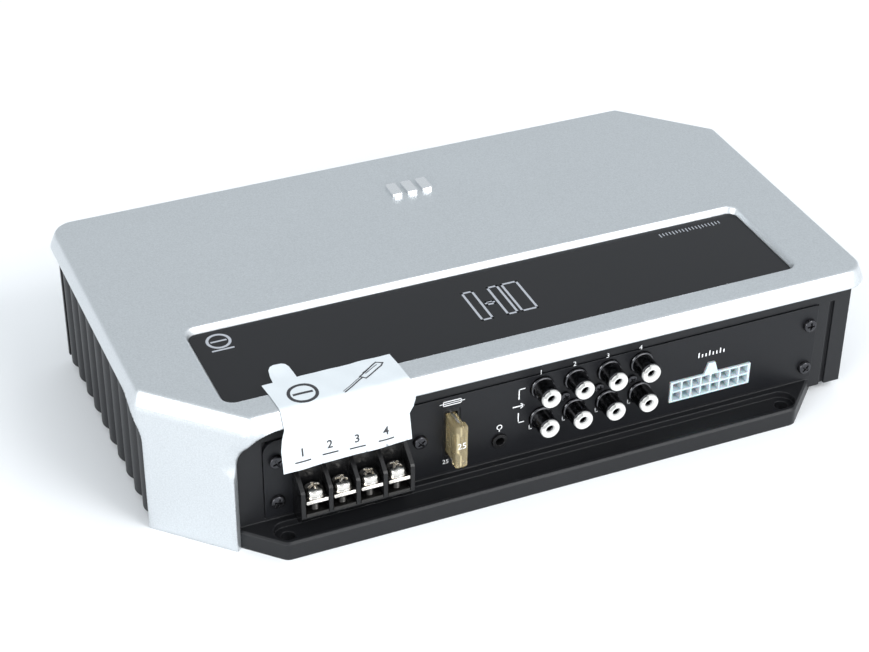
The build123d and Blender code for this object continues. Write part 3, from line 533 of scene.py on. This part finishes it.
def leg_path():
    """The cover's plan along one leg, as points and outward normals by distance, from side to front."""
    x, y, cut = COVER[0], COVER[1], CORNER_CUT
    side_start = Vector((-x, SIDE_ARCH[1]))
    corner_a, corner_b = Vector((-x, -y + cut)), Vector((-x + cut, -y))
    front_end = Vector((FRONT_ARCH[1], -y))
    path = []

    def straight(a, b, out):
        steps = max(1, round((b - a).length / 1.2))
        path.extend((a + (b - a) * s / steps, out) for s in range(steps))

    def around(corner, before, after):
        centre, start, end = rounded_corner(corner, before, after, SOFT_CORNER)
        turn = swept(start - centre, end - centre)
        for s in range(9):
            out = turned(start - centre, turn * s / 9)
            path.append((centre + out, out.normalized()))

    along = (corner_b - corner_a).normalized()
    reach = SOFT_CORNER / math.tan(3 * math.pi / 8)      # each corner turns by 45 degrees
    straight(side_start, corner_a + Vector((0, reach)), Vector((-1, 0)))
    around(corner_a, Vector((0, 1)), along)
    straight(corner_a + along * reach, corner_b - along * reach, Vector((along.y, -along.x)))
    around(corner_b, -along, Vector((1, 0)))
    straight(corner_b + Vector((reach, 0)), front_end, Vector((0, -1)))
    path.append((front_end, Vector((0, -1))))
    return path


def leg_edge(front_u, u_at):
    """The leg's free edge, flat: down the side arch, along the foot, and up the front arch."""
    side_u = SIDE_ARCH[0]
    side_foot, front_foot = RIM_EDGE - SIDE_ARCH[0], RIM_EDGE - FRONT_ARCH[0]
    edge = []
    for step in range(17):
        angle = math.pi / 2 * step / 16
        edge.append((side_u * math.sin(angle), side_foot + side_u * math.cos(angle)))
    edge += [(side_u, side_foot * (1 - step / 24)) for step in range(1, 24)]
    edge += [(side_u + (front_u - side_u) * step / 30, 0.0) for step in range(31)]
    edge += [(front_u, front_foot * step / 24) for step in range(1, 24)]
    for step in range(23):
        angle = math.pi / 2 * step / 22
        edge.append((u_at(FRONT_ARCH[1] - FRONT_ARCH[0] * math.cos(angle)),
                     front_foot + FRONT_ARCH[0] * math.sin(angle)))
    return [Vector(p) for p in edge]


def leg_inner_points(edge, loop, total):
    """Points inside the leg: an even grid, and rows that follow the free edge and the strip's crease."""
    gap_between = 1.6
    points = []
    for column in range(math.ceil(total / gap_between)):
        for row in range(math.ceil(LEG_TOP / gap_between)):
            p = Vector((column * gap_between + 0.3, row * gap_between + 0.4))
            if inside(p, loop) and distance_to(p, edge) > 1.0 and p.y < LEG_TOP - 0.4:
                points.append(p)
    for gap in (0.25, 0.6, STRIP_WIDTH - 0.5, STRIP_WIDTH, STRIP_WIDTH + 0.5):
        for a, b in zip(edge, edge[1:]):
            along = b - a
            if along.length < 1e-6:
                continue
            p = (a + b) / 2 + Vector((-along.y, along.x)).normalized() * gap
            if inside(p, loop) and abs(distance_to(p, edge) - gap) < 0.05 and p.y < LEG_TOP - 0.3:
                points.append(p)
    return points


def leg_surface(bm, turn):
    """One leg, worked out flat as distance along the plan and height, then bent round the corners."""
    path = leg_path()
    lengths = [0.0]
    for (a, _), (b, _) in zip(path, path[1:]):
        lengths.append(lengths[-1] + (b - a).length)
    total = lengths[-1]

    def at(u):
        u = min(max(u, 0.0), total)
        i = min(max(j for j, length in enumerate(lengths) if length <= u + 1e-9), len(path) - 2)
        share = (u - lengths[i]) / max(lengths[i + 1] - lengths[i], 1e-9)
        return (path[i][0].lerp(path[i + 1][0], share),
                path[i][1].lerp(path[i + 1][1], share).normalized())

    def u_at(x):
        for i, ((p, _), (q, _)) in enumerate(zip(path, path[1:])):
            if p.x <= x <= q.x and q.x > p.x:
                return lengths[i] + (x - p.x) / (q.x - p.x) * (lengths[i + 1] - lengths[i])
        return total

    front_u = u_at(FRONT_ARCH[1] - FRONT_ARCH[0])
    edge = leg_edge(front_u, u_at)
    loop = edge + [Vector((total - total * step / 60, LEG_TOP)) for step in range(61)]
    strip_edge = [p for p in edge if p.x >= front_u - 1e-6]

    def inset_at(p):
        """How far in the outer face lies: the rim's lean, the strip's slope and the rounded edge."""
        lean = RIM_LEAN * max(0.0, p.y - RIM_EDGE) - 0.01
        gap = STRIP_WIDTH - distance_to(p, strip_edge)
        rise = gap
        if gap <= STRIP_SOFTNESS:
            rise = max(0.0, gap + STRIP_SOFTNESS) ** 2 / (4 * STRIP_SOFTNESS)
        fade = min(1.0, max(0.0, (RIM_EDGE - 0.5 - p.y) / STRIP_FADE))
        short = max(0.0, LEG_ROUNDING - distance_to(p, edge))
        round_off = LEG_ROUNDING - math.sqrt(max(0.0, LEG_ROUNDING ** 2 - short ** 2))
        return min(lean + STRIP_SLOPE * rise * fade + round_off, COVER_WALL - 0.4)

    def solid_point(p, inset):
        place, out = at(p.x)
        place = place - out * inset
        return bm.verts.new((turn * place.x * MM, turn * place.y * MM, p.y * MM))

    flat = loop + leg_inner_points(edge, loop, total)
    places, triangles, _ = triangles_in(flat, [list(range(len(loop)))], tolerance=1e-4)
    outer, inner = [], []
    for p in places:
        outer.append(solid_point(p, inset_at(p)))
        inner.append(solid_point(p, COVER_WALL))
    for triangle in triangles:
        bm.faces.new([outer[i] for i in triangle])
        bm.faces.new([inner[i] for i in reversed(triangle)])
    sides = [(triangle[i], triangle[(i + 1) % 3]) for triangle in triangles for i in range(3)]
    paired = set(sides)
    for a, b in sides:
        if (b, a) not in paired:
            bm.faces.new((outer[a], inner[a], inner[b], outer[b]))


# ---------------------------------------------------------------- label
def smooth_line(points, gap=0.5):
    """A Catmull-Rom line through flat points, sampled at about the gap."""
    line = []
    for i in range(len(points) - 1):
        p0, p1 = Vector(points[max(i - 1, 0)]), Vector(points[i])
        p2, p3 = Vector(points[i + 1]), Vector(points[min(i + 2, len(points) - 1)])
        steps = max(2, round((p2 - p1).length / gap))
        for step in range(steps):
            t = step / steps
            line.append(0.5 * (2 * p1 + (p2 - p0) * t + (2 * p0 - 5 * p1 + 4 * p2 - p3) * t ** 2
                               + (3 * p1 - p0 - 3 * p2 + p3) * t ** 3))
    return line + [Vector(points[-1])]


LABEL_TOP_Z = 62.22
LABEL_BACK_Y = -50.0
# Side view of the label as (y, z): flat on the cover, over the edge, down the rim, and hanging.
LABEL_LINE = smooth_line((
    (LABEL_BACK_Y, LABEL_TOP_Z), (-60.0, LABEL_TOP_Z), (-70.0, LABEL_TOP_Z), (-74.9, LABEL_TOP_Z),
    (-76.4, 61.95), (-77.2, 61.0), (-77.75, 59.8), (-79.15, 56.1), (-79.35, 54.9), (-78.6, 52.6),
    (-78.05, 50.0), (-78.1, 47.5), (-78.6, 44.0), (-79.2, 40.0), (-79.55, 36.0),
))
LABEL_RUN = [0.0]
for before, after in zip(LABEL_LINE, LABEL_LINE[1:]):
    LABEL_RUN.append(LABEL_RUN[-1] + (after - before).length)


def label_run_at(y=None, z=None):
    """How far along the label a place on its top (y) or on its front (z) lies."""
    if y is not None:
        return LABEL_BACK_Y - y
    return next(run for run, p in zip(LABEL_RUN, LABEL_LINE) if p.y <= z)


def label_point(x, run, lift=0.0):
    """The label's place in space at x and at a distance along it, with its slight waves."""
    run = min(max(run, 0.0), LABEL_RUN[-1] - 1e-6)
    i = next(k for k in range(len(LABEL_RUN) - 1) if LABEL_RUN[k + 1] > run)
    share = (run - LABEL_RUN[i]) / (LABEL_RUN[i + 1] - LABEL_RUN[i])
    place = LABEL_LINE[i].lerp(LABEL_LINE[i + 1], share)
    along = (LABEL_LINE[i + 1] - LABEL_LINE[i]).normalized()
    out = Vector((-abs(along.y), abs(along.x))) if along.y < -0.05 else Vector((0, 1))
    hanging = min(1.0, max(0.0, (run - 32.0) / 8.0))
    wave = 0.12 + 0.10 * math.sin(0.31 * x + 0.17 * run) + 0.08 * math.sin(0.9 + 0.53 * x - 0.36 * run)
    wave += hanging * (0.28 * math.sin(0.19 * x + 1.1) + 0.12 * math.sin(0.43 * x + 0.2 * run))
    curl = 0.8 * max(0.0, (9.0 - run) / 9.0) ** 2 if x < -86 else 0.0
    place = place + out * (max(0.02, wave) + lift) + Vector((0, curl))
    return (x, place.x, place.y)


def label_outline():
    top = [(-101.6, -60.3), (-97.2, -60.1), (-96.9, -56.0), (-96.3, -52.8), (-95.3, -51.4), (-93.9, -50.8),
           (-90.6, -50.8), (-89.3, -51.4), (-88.5, -53.0), (-88.1, -56.8), (-88.0, -59.9), (-51.7, -59.4),
           (-50.9, -67.6), (-50.7, -75.0)]
    front = [(-49.6, 56.1), (-49.9, 51.3), (-51.4, 48.3), (-51.0, 37.7), (-101.0, 36.2), (-101.3, 45.7),
             (-100.1, 55.6)]
    corners = [(x, label_run_at(y=y)) for x, y in top] + [(x, label_run_at(z=z)) for x, z in front]
    corners += [(-100.5, label_run_at(y=-74.5)), (-100.9, label_run_at(y=-66.6))]
    outline = []
    for here, there in zip(corners, corners[1:] + corners[:1]):
        a, b = Vector(here), Vector(there)
        steps = max(1, round((b - a).length / 1.0))
        outline += [a + (b - a) * step / steps for step in range(steps)]
    return outline


def label_mesh(outline, gap):
    """Points and faces of the label's flat outline, laid in place."""
    flat = list(outline)
    low = [min(p[i] for p in outline) for i in (0, 1)]
    high = [max(p[i] for p in outline) for i in (0, 1)]
    closed = outline + outline[:1]
    x = low[0] + gap / 2
    while x < high[0]:
        run = low[1] + gap / 2
        while run < high[1]:
            p = Vector((x, run))
            if inside(p, outline) and distance_to(p, closed) >= gap * 0.45:
                flat.append(p)
            run += gap
        x += gap
    places, triangles, _ = triangles_in(flat, [list(range(len(outline)))])
    return [label_point(p.x, p.y) for p in places], triangles


def fine_bar(x0, y0, x1, y1, width):
    """A stroke cut into short lengths, so that it can follow a curved sheet."""
    steps = max(1, round(math.hypot(x1 - x0, y1 - y0) / 0.7))
    shares = [step / steps for step in range(steps + 1)]
    stops = [(x0 + (x1 - x0) * share, y0 + (y1 - y0) * share) for share in shares]
    return [bar(*a, *b, width) for a, b in zip(stops, stops[1:])]


def label():
    outline = label_outline()
    points, faces = label_mesh(outline, 1.3)
    sheet = piece("terminal_label_sheet", points, faces, FINISH["label_vinyl"], slot="label_vinyl", sharp=60,
                  replaces=("terminal_label",))
    marks = []
    for x, z, text in zip((-93.4, -82.8, -72.3, -61.2), (43.4, 43.6, 43.4, 43.6), "1234"):
        letters, letter_faces = text_shapes(text, 4.6, 0.09)
        run = label_run_at(z=z)
        marks.append(([(x + a, run - b, 0) for a, b, _ in letters], letter_faces))
        marks += fine_bar(x - 2.8, run + 3.5, x + 2.8, run + 3.5, 0.6)
    marks.append(ring(-89.4, label_run_at(y=-70.0), 5.2, 1.25))
    marks += fine_bar(-92.6, label_run_at(y=-70.0), -86.2, label_run_at(y=-70.0), 1.2)
    grip = [(-67.0, -68.6), (-65.2, -70.3), (-57.2, -65.0), (-56.0, -63.4), (-58.4, -62.4)]
    for (xa, ya), (xb, yb) in zip(grip, grip[1:] + grip[:1]):
        marks += fine_bar(xa, LABEL_BACK_Y - ya, xb, LABEL_BACK_Y - yb, 0.55)
    marks += fine_bar(-75.1, 25.2, -66.4, 19.5, 0.55)
    marks += fine_bar(-75.6, 24.5, -66.8, 18.8, 0.28)
    marks += fine_bar(-64.2, 17.4, -58.6, 13.9, 0.3)
    marks += fine_bar(-65.2, 16.8, -59.0, 13.0, 0.3)

    def place(point):
        return label_point(point[0], point[1], 0.06)

    printed("terminal_label_marks", marks, place, BLACK_PRINT, "label_vinyl")


# ---------------------------------------------------------------- screws
def cross_head(radius, height, dome, slot_width, slot_depth, turn=0.35, rings=22, segments=72):
    """A domed screw head with a cross recess, its flat side at height 0."""
    c, s = math.cos(turn), math.sin(turn)
    reach = radius * 0.62

    def depth_at(x, y):
        a, b = abs(c * x + s * y), abs(-s * x + c * y)
        if max(a, b) > reach:
            return 0.0
        edge = (slot_width * (1 - 0.35 * max(a, b) / reach) - min(a, b)) / 0.12
        return slot_depth * min(1.0, max(0.0, edge)) * min(1.0, (reach - max(a, b)) / 0.5 + 0.25)

    angles = [2 * math.pi * k / segments for k in range(segments)]
    points = [(0.0, 0.0, height - slot_depth)]
    for i in range(rings):
        r = radius * (i + 1) / rings
        share = r / radius
        top = height - dome * share ** 2 - 0.35 * max(0.0, (share - 0.86) / 0.14) ** 2
        for angle in angles:
            x, y = r * math.cos(angle), r * math.sin(angle)
            points.append((x, y, top - depth_at(x, y)))
    points += [(radius * math.cos(angle), radius * math.sin(angle), 0.0) for angle in angles]
    points.append((0.0, 0.0, 0.0))
    faces = []
    for k in range(segments):
        after = (k + 1) % segments
        faces.append((0, 1 + k, 1 + after))
        for row in range(1, rings * segments, segments):
            faces.append((row + k, row + segments + k, row + segments + after, row + after))
        foot = 1 + rings * segments
        faces.append((foot + k, len(points) - 1, foot + after))
    return points, faces


def panel_screws():
    """The black screws of both connector panels, with the small ones between the phono sockets."""
    for side, panel_name, phono_name in ((1, "input_panel_screws", "rca_input_screws"),
                                         (-1, "output_panel_screws", "rca_output_screws")):
        for name, places in ((panel_name, PANEL_SCREWS), (phono_name, PHONO_SCREWS)):
            low, high = (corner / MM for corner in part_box(name))
            near, far = (-low.y, -high.y) if side == 1 else (high.y, low.y)
            first = min(x for x, _ in places) if side == 1 else min(-x for x, _ in places)
            radius = min(3.0, first - low.x)
            heads = []
            for i, (x, z) in enumerate(places):
                head = cross_head(radius, near - PANEL_FACE + 0.02, 0.35, radius * 0.17, 0.9, 0.4 + 0.9 * i)
                shank = lathe([(0, -(PANEL_FACE - far) + 0.1), (radius * 0.5, -(PANEL_FACE - far) + 0.1),
                               (radius * 0.5, 0), (0, 0)], 20)
                heads += [(*head, front_place(x, z, PANEL_FACE, side)),
                          (*shank, front_place(x, z, PANEL_FACE, side))]
            points, faces = gather(heads)
            piece(name + "_heads", points, faces, FINISH["black_screw"], slot="black_screw", sharp=30,
                  replaces=(name,))


def thread(radius, low, high, pitch=0.7, depth=0.22):
    """The profile of a threaded shank from its foot upwards, as a closed lathe profile."""
    profile = [(0, low), (radius - depth - 0.3, low)]
    h = low + 0.35
    while h + pitch < high:
        profile += [(radius - depth, h), (radius, h + pitch * 0.35), (radius, h + pitch * 0.5),
                    (radius - depth, h + pitch * 0.85)]
        h += pitch
    return profile + [(radius - depth, high), (0, high)]


def terminal_hardware():
    """Clamp, split washer and screw of each terminal, each on its own body."""
    for i, x in enumerate(TERMINAL_X, 1):
        def place(point, x=x):
            return (point[0] + x, point[1] + TERMINAL_Y, point[2])

        low, high = (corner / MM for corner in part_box(f"terminal_screw_{i}"))
        turn = (0.2, 1.1, 0.55, 0.85)[i - 1]

        def head_place(point, place=place):
            return place((point[0], point[1], point[2] + HEAD_SEAT))

        head = cross_head(3.75, high.z - HEAD_SEAT, 1.25, 0.62, 1.7, turn, 28, 96)
        points, faces = gather([(*head, head_place)])
        piece(f"clamp_screw_{i}", points, faces, FINISH["nickel"], f"screw_{i}", "nickel", 30,
              (f"terminal_screw_{i}",))
        # The threaded shank takes nickel painted dark as shade, for the shade under the clamp.
        shank = lathe(thread(1.8, low.z - HEAD_SEAT, 0.05), 28)
        points, faces = gather([(*shank, head_place)])
        piece(f"clamp_screw_thread_{i}", points, faces, NICKEL_PAINTED_SHADE, f"screw_{i}", "nickel", 30)
        split = []
        count = 60
        for k in range(count + 1):
            angle = turn + 0.12 + (2 * math.pi - 0.24) * k / count
            lift = 0.16 * (k / count - 0.5)
            for r, h in ((1.95, 20.68), (3.75, 20.66), (3.9, 20.8), (3.9, 21.4), (3.75, 21.52), (1.95, 21.5)):
                split.append(place((r * math.cos(angle), r * math.sin(angle), h + lift * 0.3)))
        piece(f"split_washer_{i}", split, skin(count + 1, 6), FINISH["nickel"], f"clamp_{i}", "nickel", 30,
              (f"terminal_washer_{i}",))
        clamp_plate(i, place)


def clamp_plate(i, place):
    """A square clamp with turned-down grooved lips front and back and a row of bottom ridges."""
    half, y = 4.25, 4.05
    profile = [(-y + 0.35, 20.6), (-y + 0.08, 20.5), (-y, 20.3), (-y + 0.22, 20.14), (-y, 19.98), (-y, 19.76),
               (-y + 0.22, 19.6), (-y, 19.44), (-y + 0.02, 19.15), (-y + 0.3, 19.02), (-y + 0.75, 19.05),
               (-y + 0.95, 19.4)]
    for k in range(6):
        middle = -2.4 + k * 0.96
        profile += [(middle - 0.3, 19.4), (middle, 19.12), (middle + 0.3, 19.4)]
    profile += [(-a, b) for a, b in reversed(profile[:12])]
    stations = [(-half, 0.3), (-half + 0.12, 0.1), (-half + 0.3, 0.0), (half - 0.3, 0.0), (half - 0.12, 0.1),
                (half, 0.3)]
    points = []
    for x, shrink in stations:
        for a, b in profile:
            points.append(place((x, a * (1 - shrink / 5), 19.8 + (b - 19.8) * (1 - shrink / 1.6))))
    piece(f"clamp_plate_{i}", points, skin(len(stations), len(profile)), FINISH["nickel"],
          f"clamp_{i}", "nickel", 25, (f"terminal_clamp_{i}",))


# ---------------------------------------------------------------- phono sockets
SHELL = [(3.1, -9.2), (3.6, -9.2), (3.6, -1.5), (4.75, -1.5), (4.9, -1.35), (4.9, 0.75), (4.72, 1.02),
         (4.4, 1.1), (4.24, 1.2), (4.15, 1.4), (4.15, 7.5), (4.02, 7.74), (3.8, 7.8), (3.1, 7.8), (3.1, -9.2)]
INSULATOR = [(1.62, -6.0), (3.05, -6.0), (3.05, 7.7), (3.7, 7.82), (3.82, 7.95), (3.82, 8.7), (3.68, 9.02),
             (3.4, 9.2), (2.5, 9.2), (2.1, 9.1), (1.8, 8.75), (1.62, 8.1), (1.62, -6.0)]
# The contact sleeve lines the insulator's bore down to a floor; its dark nickel is painted shade that keeps
# the bore dark.
CONTACT = [(0, 1.5), (1.2, 1.5), (1.2, 7.6), (1.35, 7.8), (1.6, 7.85), (1.6, -6.0), (0, -6.0)]


def notched(shape, angle, half_width, depth):
    """A turned shape with a flat notch cut in the front of its rim."""
    points, faces = shape
    out = []
    for x, y, h in points:
        r, a = math.hypot(x, y), math.atan2(y, x)
        away = abs((a - angle + math.pi) % (2 * math.pi) - math.pi)
        if r > depth and h > 7.8 and away < half_width:
            x, y = x * depth / r, y * depth / r
        out.append((x, y, h))
    return out, faces


def phono_sockets():
    for side, way in ((1, "input"), (-1, "output")):
        places = [front_place(x, z, PANEL_FACE, side) for z in PHONO_Z for x in PHONO_X]
        white = notched(lathe(INSULATOR, 80), math.radians(128), math.radians(27), 2.75)
        for name, shape, finish, node in (
                ("barrels", lathe(SHELL, 64), "dark_nickel", "shells"),
                ("collars", white, "white_insulator", "insulators"),
                # painted shade: the contact sleeves are coloured dark to darken the bores
                ("sleeves", lathe(CONTACT, 40), "dark_nickel", "contacts")):
            points, faces = gather([(*shape, place) for place in places])
            slot = SLOT_OF[f"rca_{way}_{node}"]
            piece(f"phono_{way}_{name}", points, faces, FINISH[finish], slot=slot, sharp=32,
                  replaces=(f"rca_{way}_{node}",))


# ---------------------------------------------------------------- fuse
def fuse():
    """The blade fuse's clear coloured body, with a broad front, a narrower back and its numerals."""
    low, high = (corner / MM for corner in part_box("fuse_body"))
    half_x, half_z = (high.x - low.x) / 2, (high.z - low.z) / 2
    mid_x, mid_z = (high.x + low.x) / 2, (high.z + low.z) / 2
    depth = high.y - low.y
    rows = [(0.75, 0.75, 0.0), (0.28, 0.28, 0.12), (0.06, 0.06, 0.4), (0, 0, 0.8), (0, 0, 3.0),
            (0.05, 0.3, 3.3), (0.35, 0.9, 3.8), (0.4, 1.0, 5.0), (0.4, 1.0, depth - 0.4), (0.8, 1.4, depth)]
    points = []
    for inset_x, inset_z, d in rows:
        half = (half_x - inset_x, half_z - inset_z)
        loop = rounded_rectangle((mid_x, mid_z), half, max(0.5, 1.0 - inset_x), 6)
        points += [(x, low.y + d, z) for x, z in loop]
    piece("fuse_case", points, skin(len(rows), len(loop)), FINISH["fuse_amber"], "fuse", "fuse_amber", 30,
          ("fuse_body",))
    letters, letter_faces = text_shapes("25", 3.9)
    numerals = [(mid_x + a, low.y - 0.04, mid_z + 0.6 + b) for a, b, _ in letters]
    piece("fuse_numerals", numerals, letter_faces, WHITE_PRINT, "fuse", "fuse_amber")


# ---------------------------------------------------------------- badge
def badge():
    """Three equal raised bars with rounded edges."""
    low, high = (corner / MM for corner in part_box("cover_emblem"))
    width = 4.6
    gap = (high.x - low.x - width) / 2
    corner = 0.9
    rows = ((0.0, low.z), (0.0, high.z - 0.5), (0.1, high.z - 0.2), (0.35, high.z - 0.03), (0.7, high.z))
    half = (width / 2, (high.y - low.y) / 2 - 0.6)
    bars = []
    for k in range(3):
        centre = (low.x + width / 2 + gap * k, (low.y + high.y) / 2)
        points = []
        for inset, z in rows:
            loop = rounded_rectangle(centre, (half[0] - inset, half[1] - inset), corner - inset, 5)
            points += [(x, y, z) for x, y in loop]
        bars.append((points, skin(len(rows), len(loop)), tuple))
    points, faces = gather(bars)
    piece("cover_badge", points, faces, FINISH["polished_badge"], slot="polished_badge", sharp=40,
          replaces=("cover_emblem",))


# ---------------------------------------------------------------- printed marks
def printed(name, shapes, place, material, slot):
    points, faces = gather([(*shape, place) for shape in shapes])
    piece(name, points, faces, material, slot=slot)


def panel_print():
    """White numerals, brackets and ticks beside the sockets of the input panel."""
    shapes = []
    for x, text in zip(PHONO_X, "1234"):
        letters, faces = text_shapes(text, 2.9)
        shapes.append(([(x - 0.6 + a, PHONO_Z[1] + 7.6 - 0.7 + b, 0) for a, b, _ in letters], faces))
        shapes += [bar(x - 4.7, PHONO_Z[0] - 4.6, x - 4.7, PHONO_Z[0] - 2.9, 0.35),
                   bar(x - 4.7, PHONO_Z[0] - 4.6, x - 3.7, PHONO_Z[0] - 4.6, 0.35)]
    for end, start in ((39.6, 35.2), (24.0, 28.4)):
        shapes += [bar(-3.2, start, -3.2, end, 0.45), bar(-3.2, end, -0.9, end, 0.45)]
    shapes += [bar(-5.4, 31.8, -1.0, 31.8, 0.55), bar(-2.2, 32.8, -1.0, 31.8, 0.45),
               bar(-2.2, 30.8, -1.0, 31.8, 0.45)]
    shapes += [bar(-34.4, 40.6, -27.2, 40.6, 0.4), bar(-34.4, 42.4, -27.2, 42.4, 0.4),
               bar(-34.4, 40.6, -34.4, 42.4, 0.4), bar(-27.2, 40.6, -27.2, 42.4, 0.4),
               bar(-35.8, 41.5, -25.8, 41.5, 0.3)]
    letters, faces = text_shapes("25", 2.7)
    shapes.append(([(-33.2 + a, 14.2 + b, 0) for a, b, _ in letters], faces))
    shapes += [ring(-11.0, 24.1, 1.0, 0.4), bar(-11.0, 22.2, -11.0, 23.1, 0.4)]
    shapes += [bar(74.6 + 1.6 * k, 33.3, 74.6 + 1.6 * k, 34.3 + 0.9 * (k % 3 == 0), 0.5) for k in range(8)]
    printed("panel_print", shapes, front_place(0, 0, PANEL_FACE + 0.03), WHITE_PRINT, "black_panel")


def inlay_print():
    """Plain outlined bars, a ring and a row of ticks on the inlay."""
    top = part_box("cover_inlay")[1].z / MM
    bars, middle_y = [], -38.7
    for low_x, high_x, half in ((7.6, 13.9, 9.7), (1.6, 5.6, 9.7), (-3.2, 0.0, 0.9), (-9.1, -4.9, 9.7)):
        low_y, high_y = middle_y - half, middle_y + half
        corners = [(low_x, low_y), (high_x, low_y), (high_x, high_y), (low_x, high_y)]
        bars += [bar(*a, *b, 0.95) for a, b in zip(corners, corners[1:] + corners[:1])]
    ticks = [bar(82.0 + 1.5 * k, -20.7 - (0.9 if k % 4 else 1.4), 82.0 + 1.5 * k, -20.7 + 0.7, 0.42)
             for k in range(19)]
    icon = [ring(-105.7, -23.5, 4.3, 1.1), bar(-109.6, -29.2, -101.8, -29.2, 0.9),
            bar(-108.4, -23.5, -103.0, -23.5, 0.9)]

    def place(point):
        return (point[0], point[1], top + 0.03)

    printed("inlay_bars", bars, place, GREY_PRINT, "gloss_inlay")
    printed("inlay_ticks", ticks + icon, place, GREY_PRINT, "gloss_inlay")


# ---------------------------------------------------------------- scene
def give_finishes():
    """Every carried-over node takes the finish of its own slot, except the terminal plates, which take nickel
    painted dark as shade.
    """
    for name, node in nodes.items():
        node.data.materials.clear()
        node.data.materials.append(NICKEL_PAINTED_SHADE if name == "terminal_plates" else FINISH[SLOT_OF[name]])


def light_scene():
    floor_mesh = bpy.data.meshes.new("floor")
    floor_mesh.from_pydata([(-6, -6, 0), (6, -6, 0), (6, 6, 0), (-6, 6, 0)], [], [(0, 1, 2, 3)])
    floor = bpy.data.objects.new("floor", floor_mesh)
    bpy.context.scene.collection.objects.link(floor)
    floor_mesh.materials.append(finish_of("floor", (0.93, 0.945, 0.96), 30, 0.005, 0.005, 0.8, 0.02, 0.0))
    world = bpy.data.worlds.new("studio")
    bpy.context.scene.world = world
    world.use_nodes = True
    tree = world.node_tree
    backdrop = tree.nodes["Background"]
    way = add_node(tree, "ShaderNodeTexCoord")
    axes = add_node(tree, "ShaderNodeSeparateXYZ")
    blend = add_node(tree, "ShaderNodeMapRange",
                     {"From Min": 0.5, "From Max": -0.6, "To Min": 0.0, "To Max": 1.0})
    low_only = add_node(tree, "ShaderNodeMapRange",
                        {"From Min": 0.14, "From Max": 0.42, "To Min": 1.0, "To Max": 0.3})
    amount = add_node(tree, "ShaderNodeMath", operation="MULTIPLY")
    shade = add_node(tree, "ShaderNodeMix", data_type="RGBA")
    shade.inputs[6].default_value = (0.67, 0.712, 0.745, 1)
    shade.inputs[7].default_value = (1.62, 1.64, 1.67, 1)
    tree.links.new(way.outputs["Generated"], axes.inputs[0])
    tree.links.new(axes.outputs["Y"], blend.inputs["Value"])
    tree.links.new(axes.outputs["Z"], low_only.inputs["Value"])
    tree.links.new(blend.outputs[0], amount.inputs[0])
    tree.links.new(low_only.outputs[0], amount.inputs[1])
    tree.links.new(amount.outputs[0], shade.inputs[0])
    tree.links.new(shade.outputs[2], backdrop.inputs["Color"])
    backdrop.inputs["Strength"].default_value = 1.0

    def lamp(name, place, target, size, power, colour=(1, 1, 1)):
        data = bpy.data.lights.new(name, "AREA")
        data.size, data.energy, data.color = size, power, colour
        thing = bpy.data.objects.new(name, data)
        bpy.context.scene.collection.objects.link(thing)
        thing.location = place
        thing.rotation_euler = (Vector(target) - Vector(place)).to_track_quat("-Z", "Y").to_euler()

    lamp("key", (0.9, -1.5, 1.5), (0, 0, 0), 1.0, 24)
    lamp("low_front", (0.75, -2.1, 0.25), (0, 0, 0.03), 1.3, 13)
    lamp("left_fill", (-1.9, -1.2, 0.8), (-0.1, 0, 0), 1.1, 22, (0.99, 1, 1))
    bpy.context.scene.view_settings.view_transform = "Standard"


place_camera()
give_finishes()
cover_shell()
label()
terminal_hardware()
panel_screws()
phono_sockets()
fuse()
badge()
panel_print()
inlay_print()
light_scene()
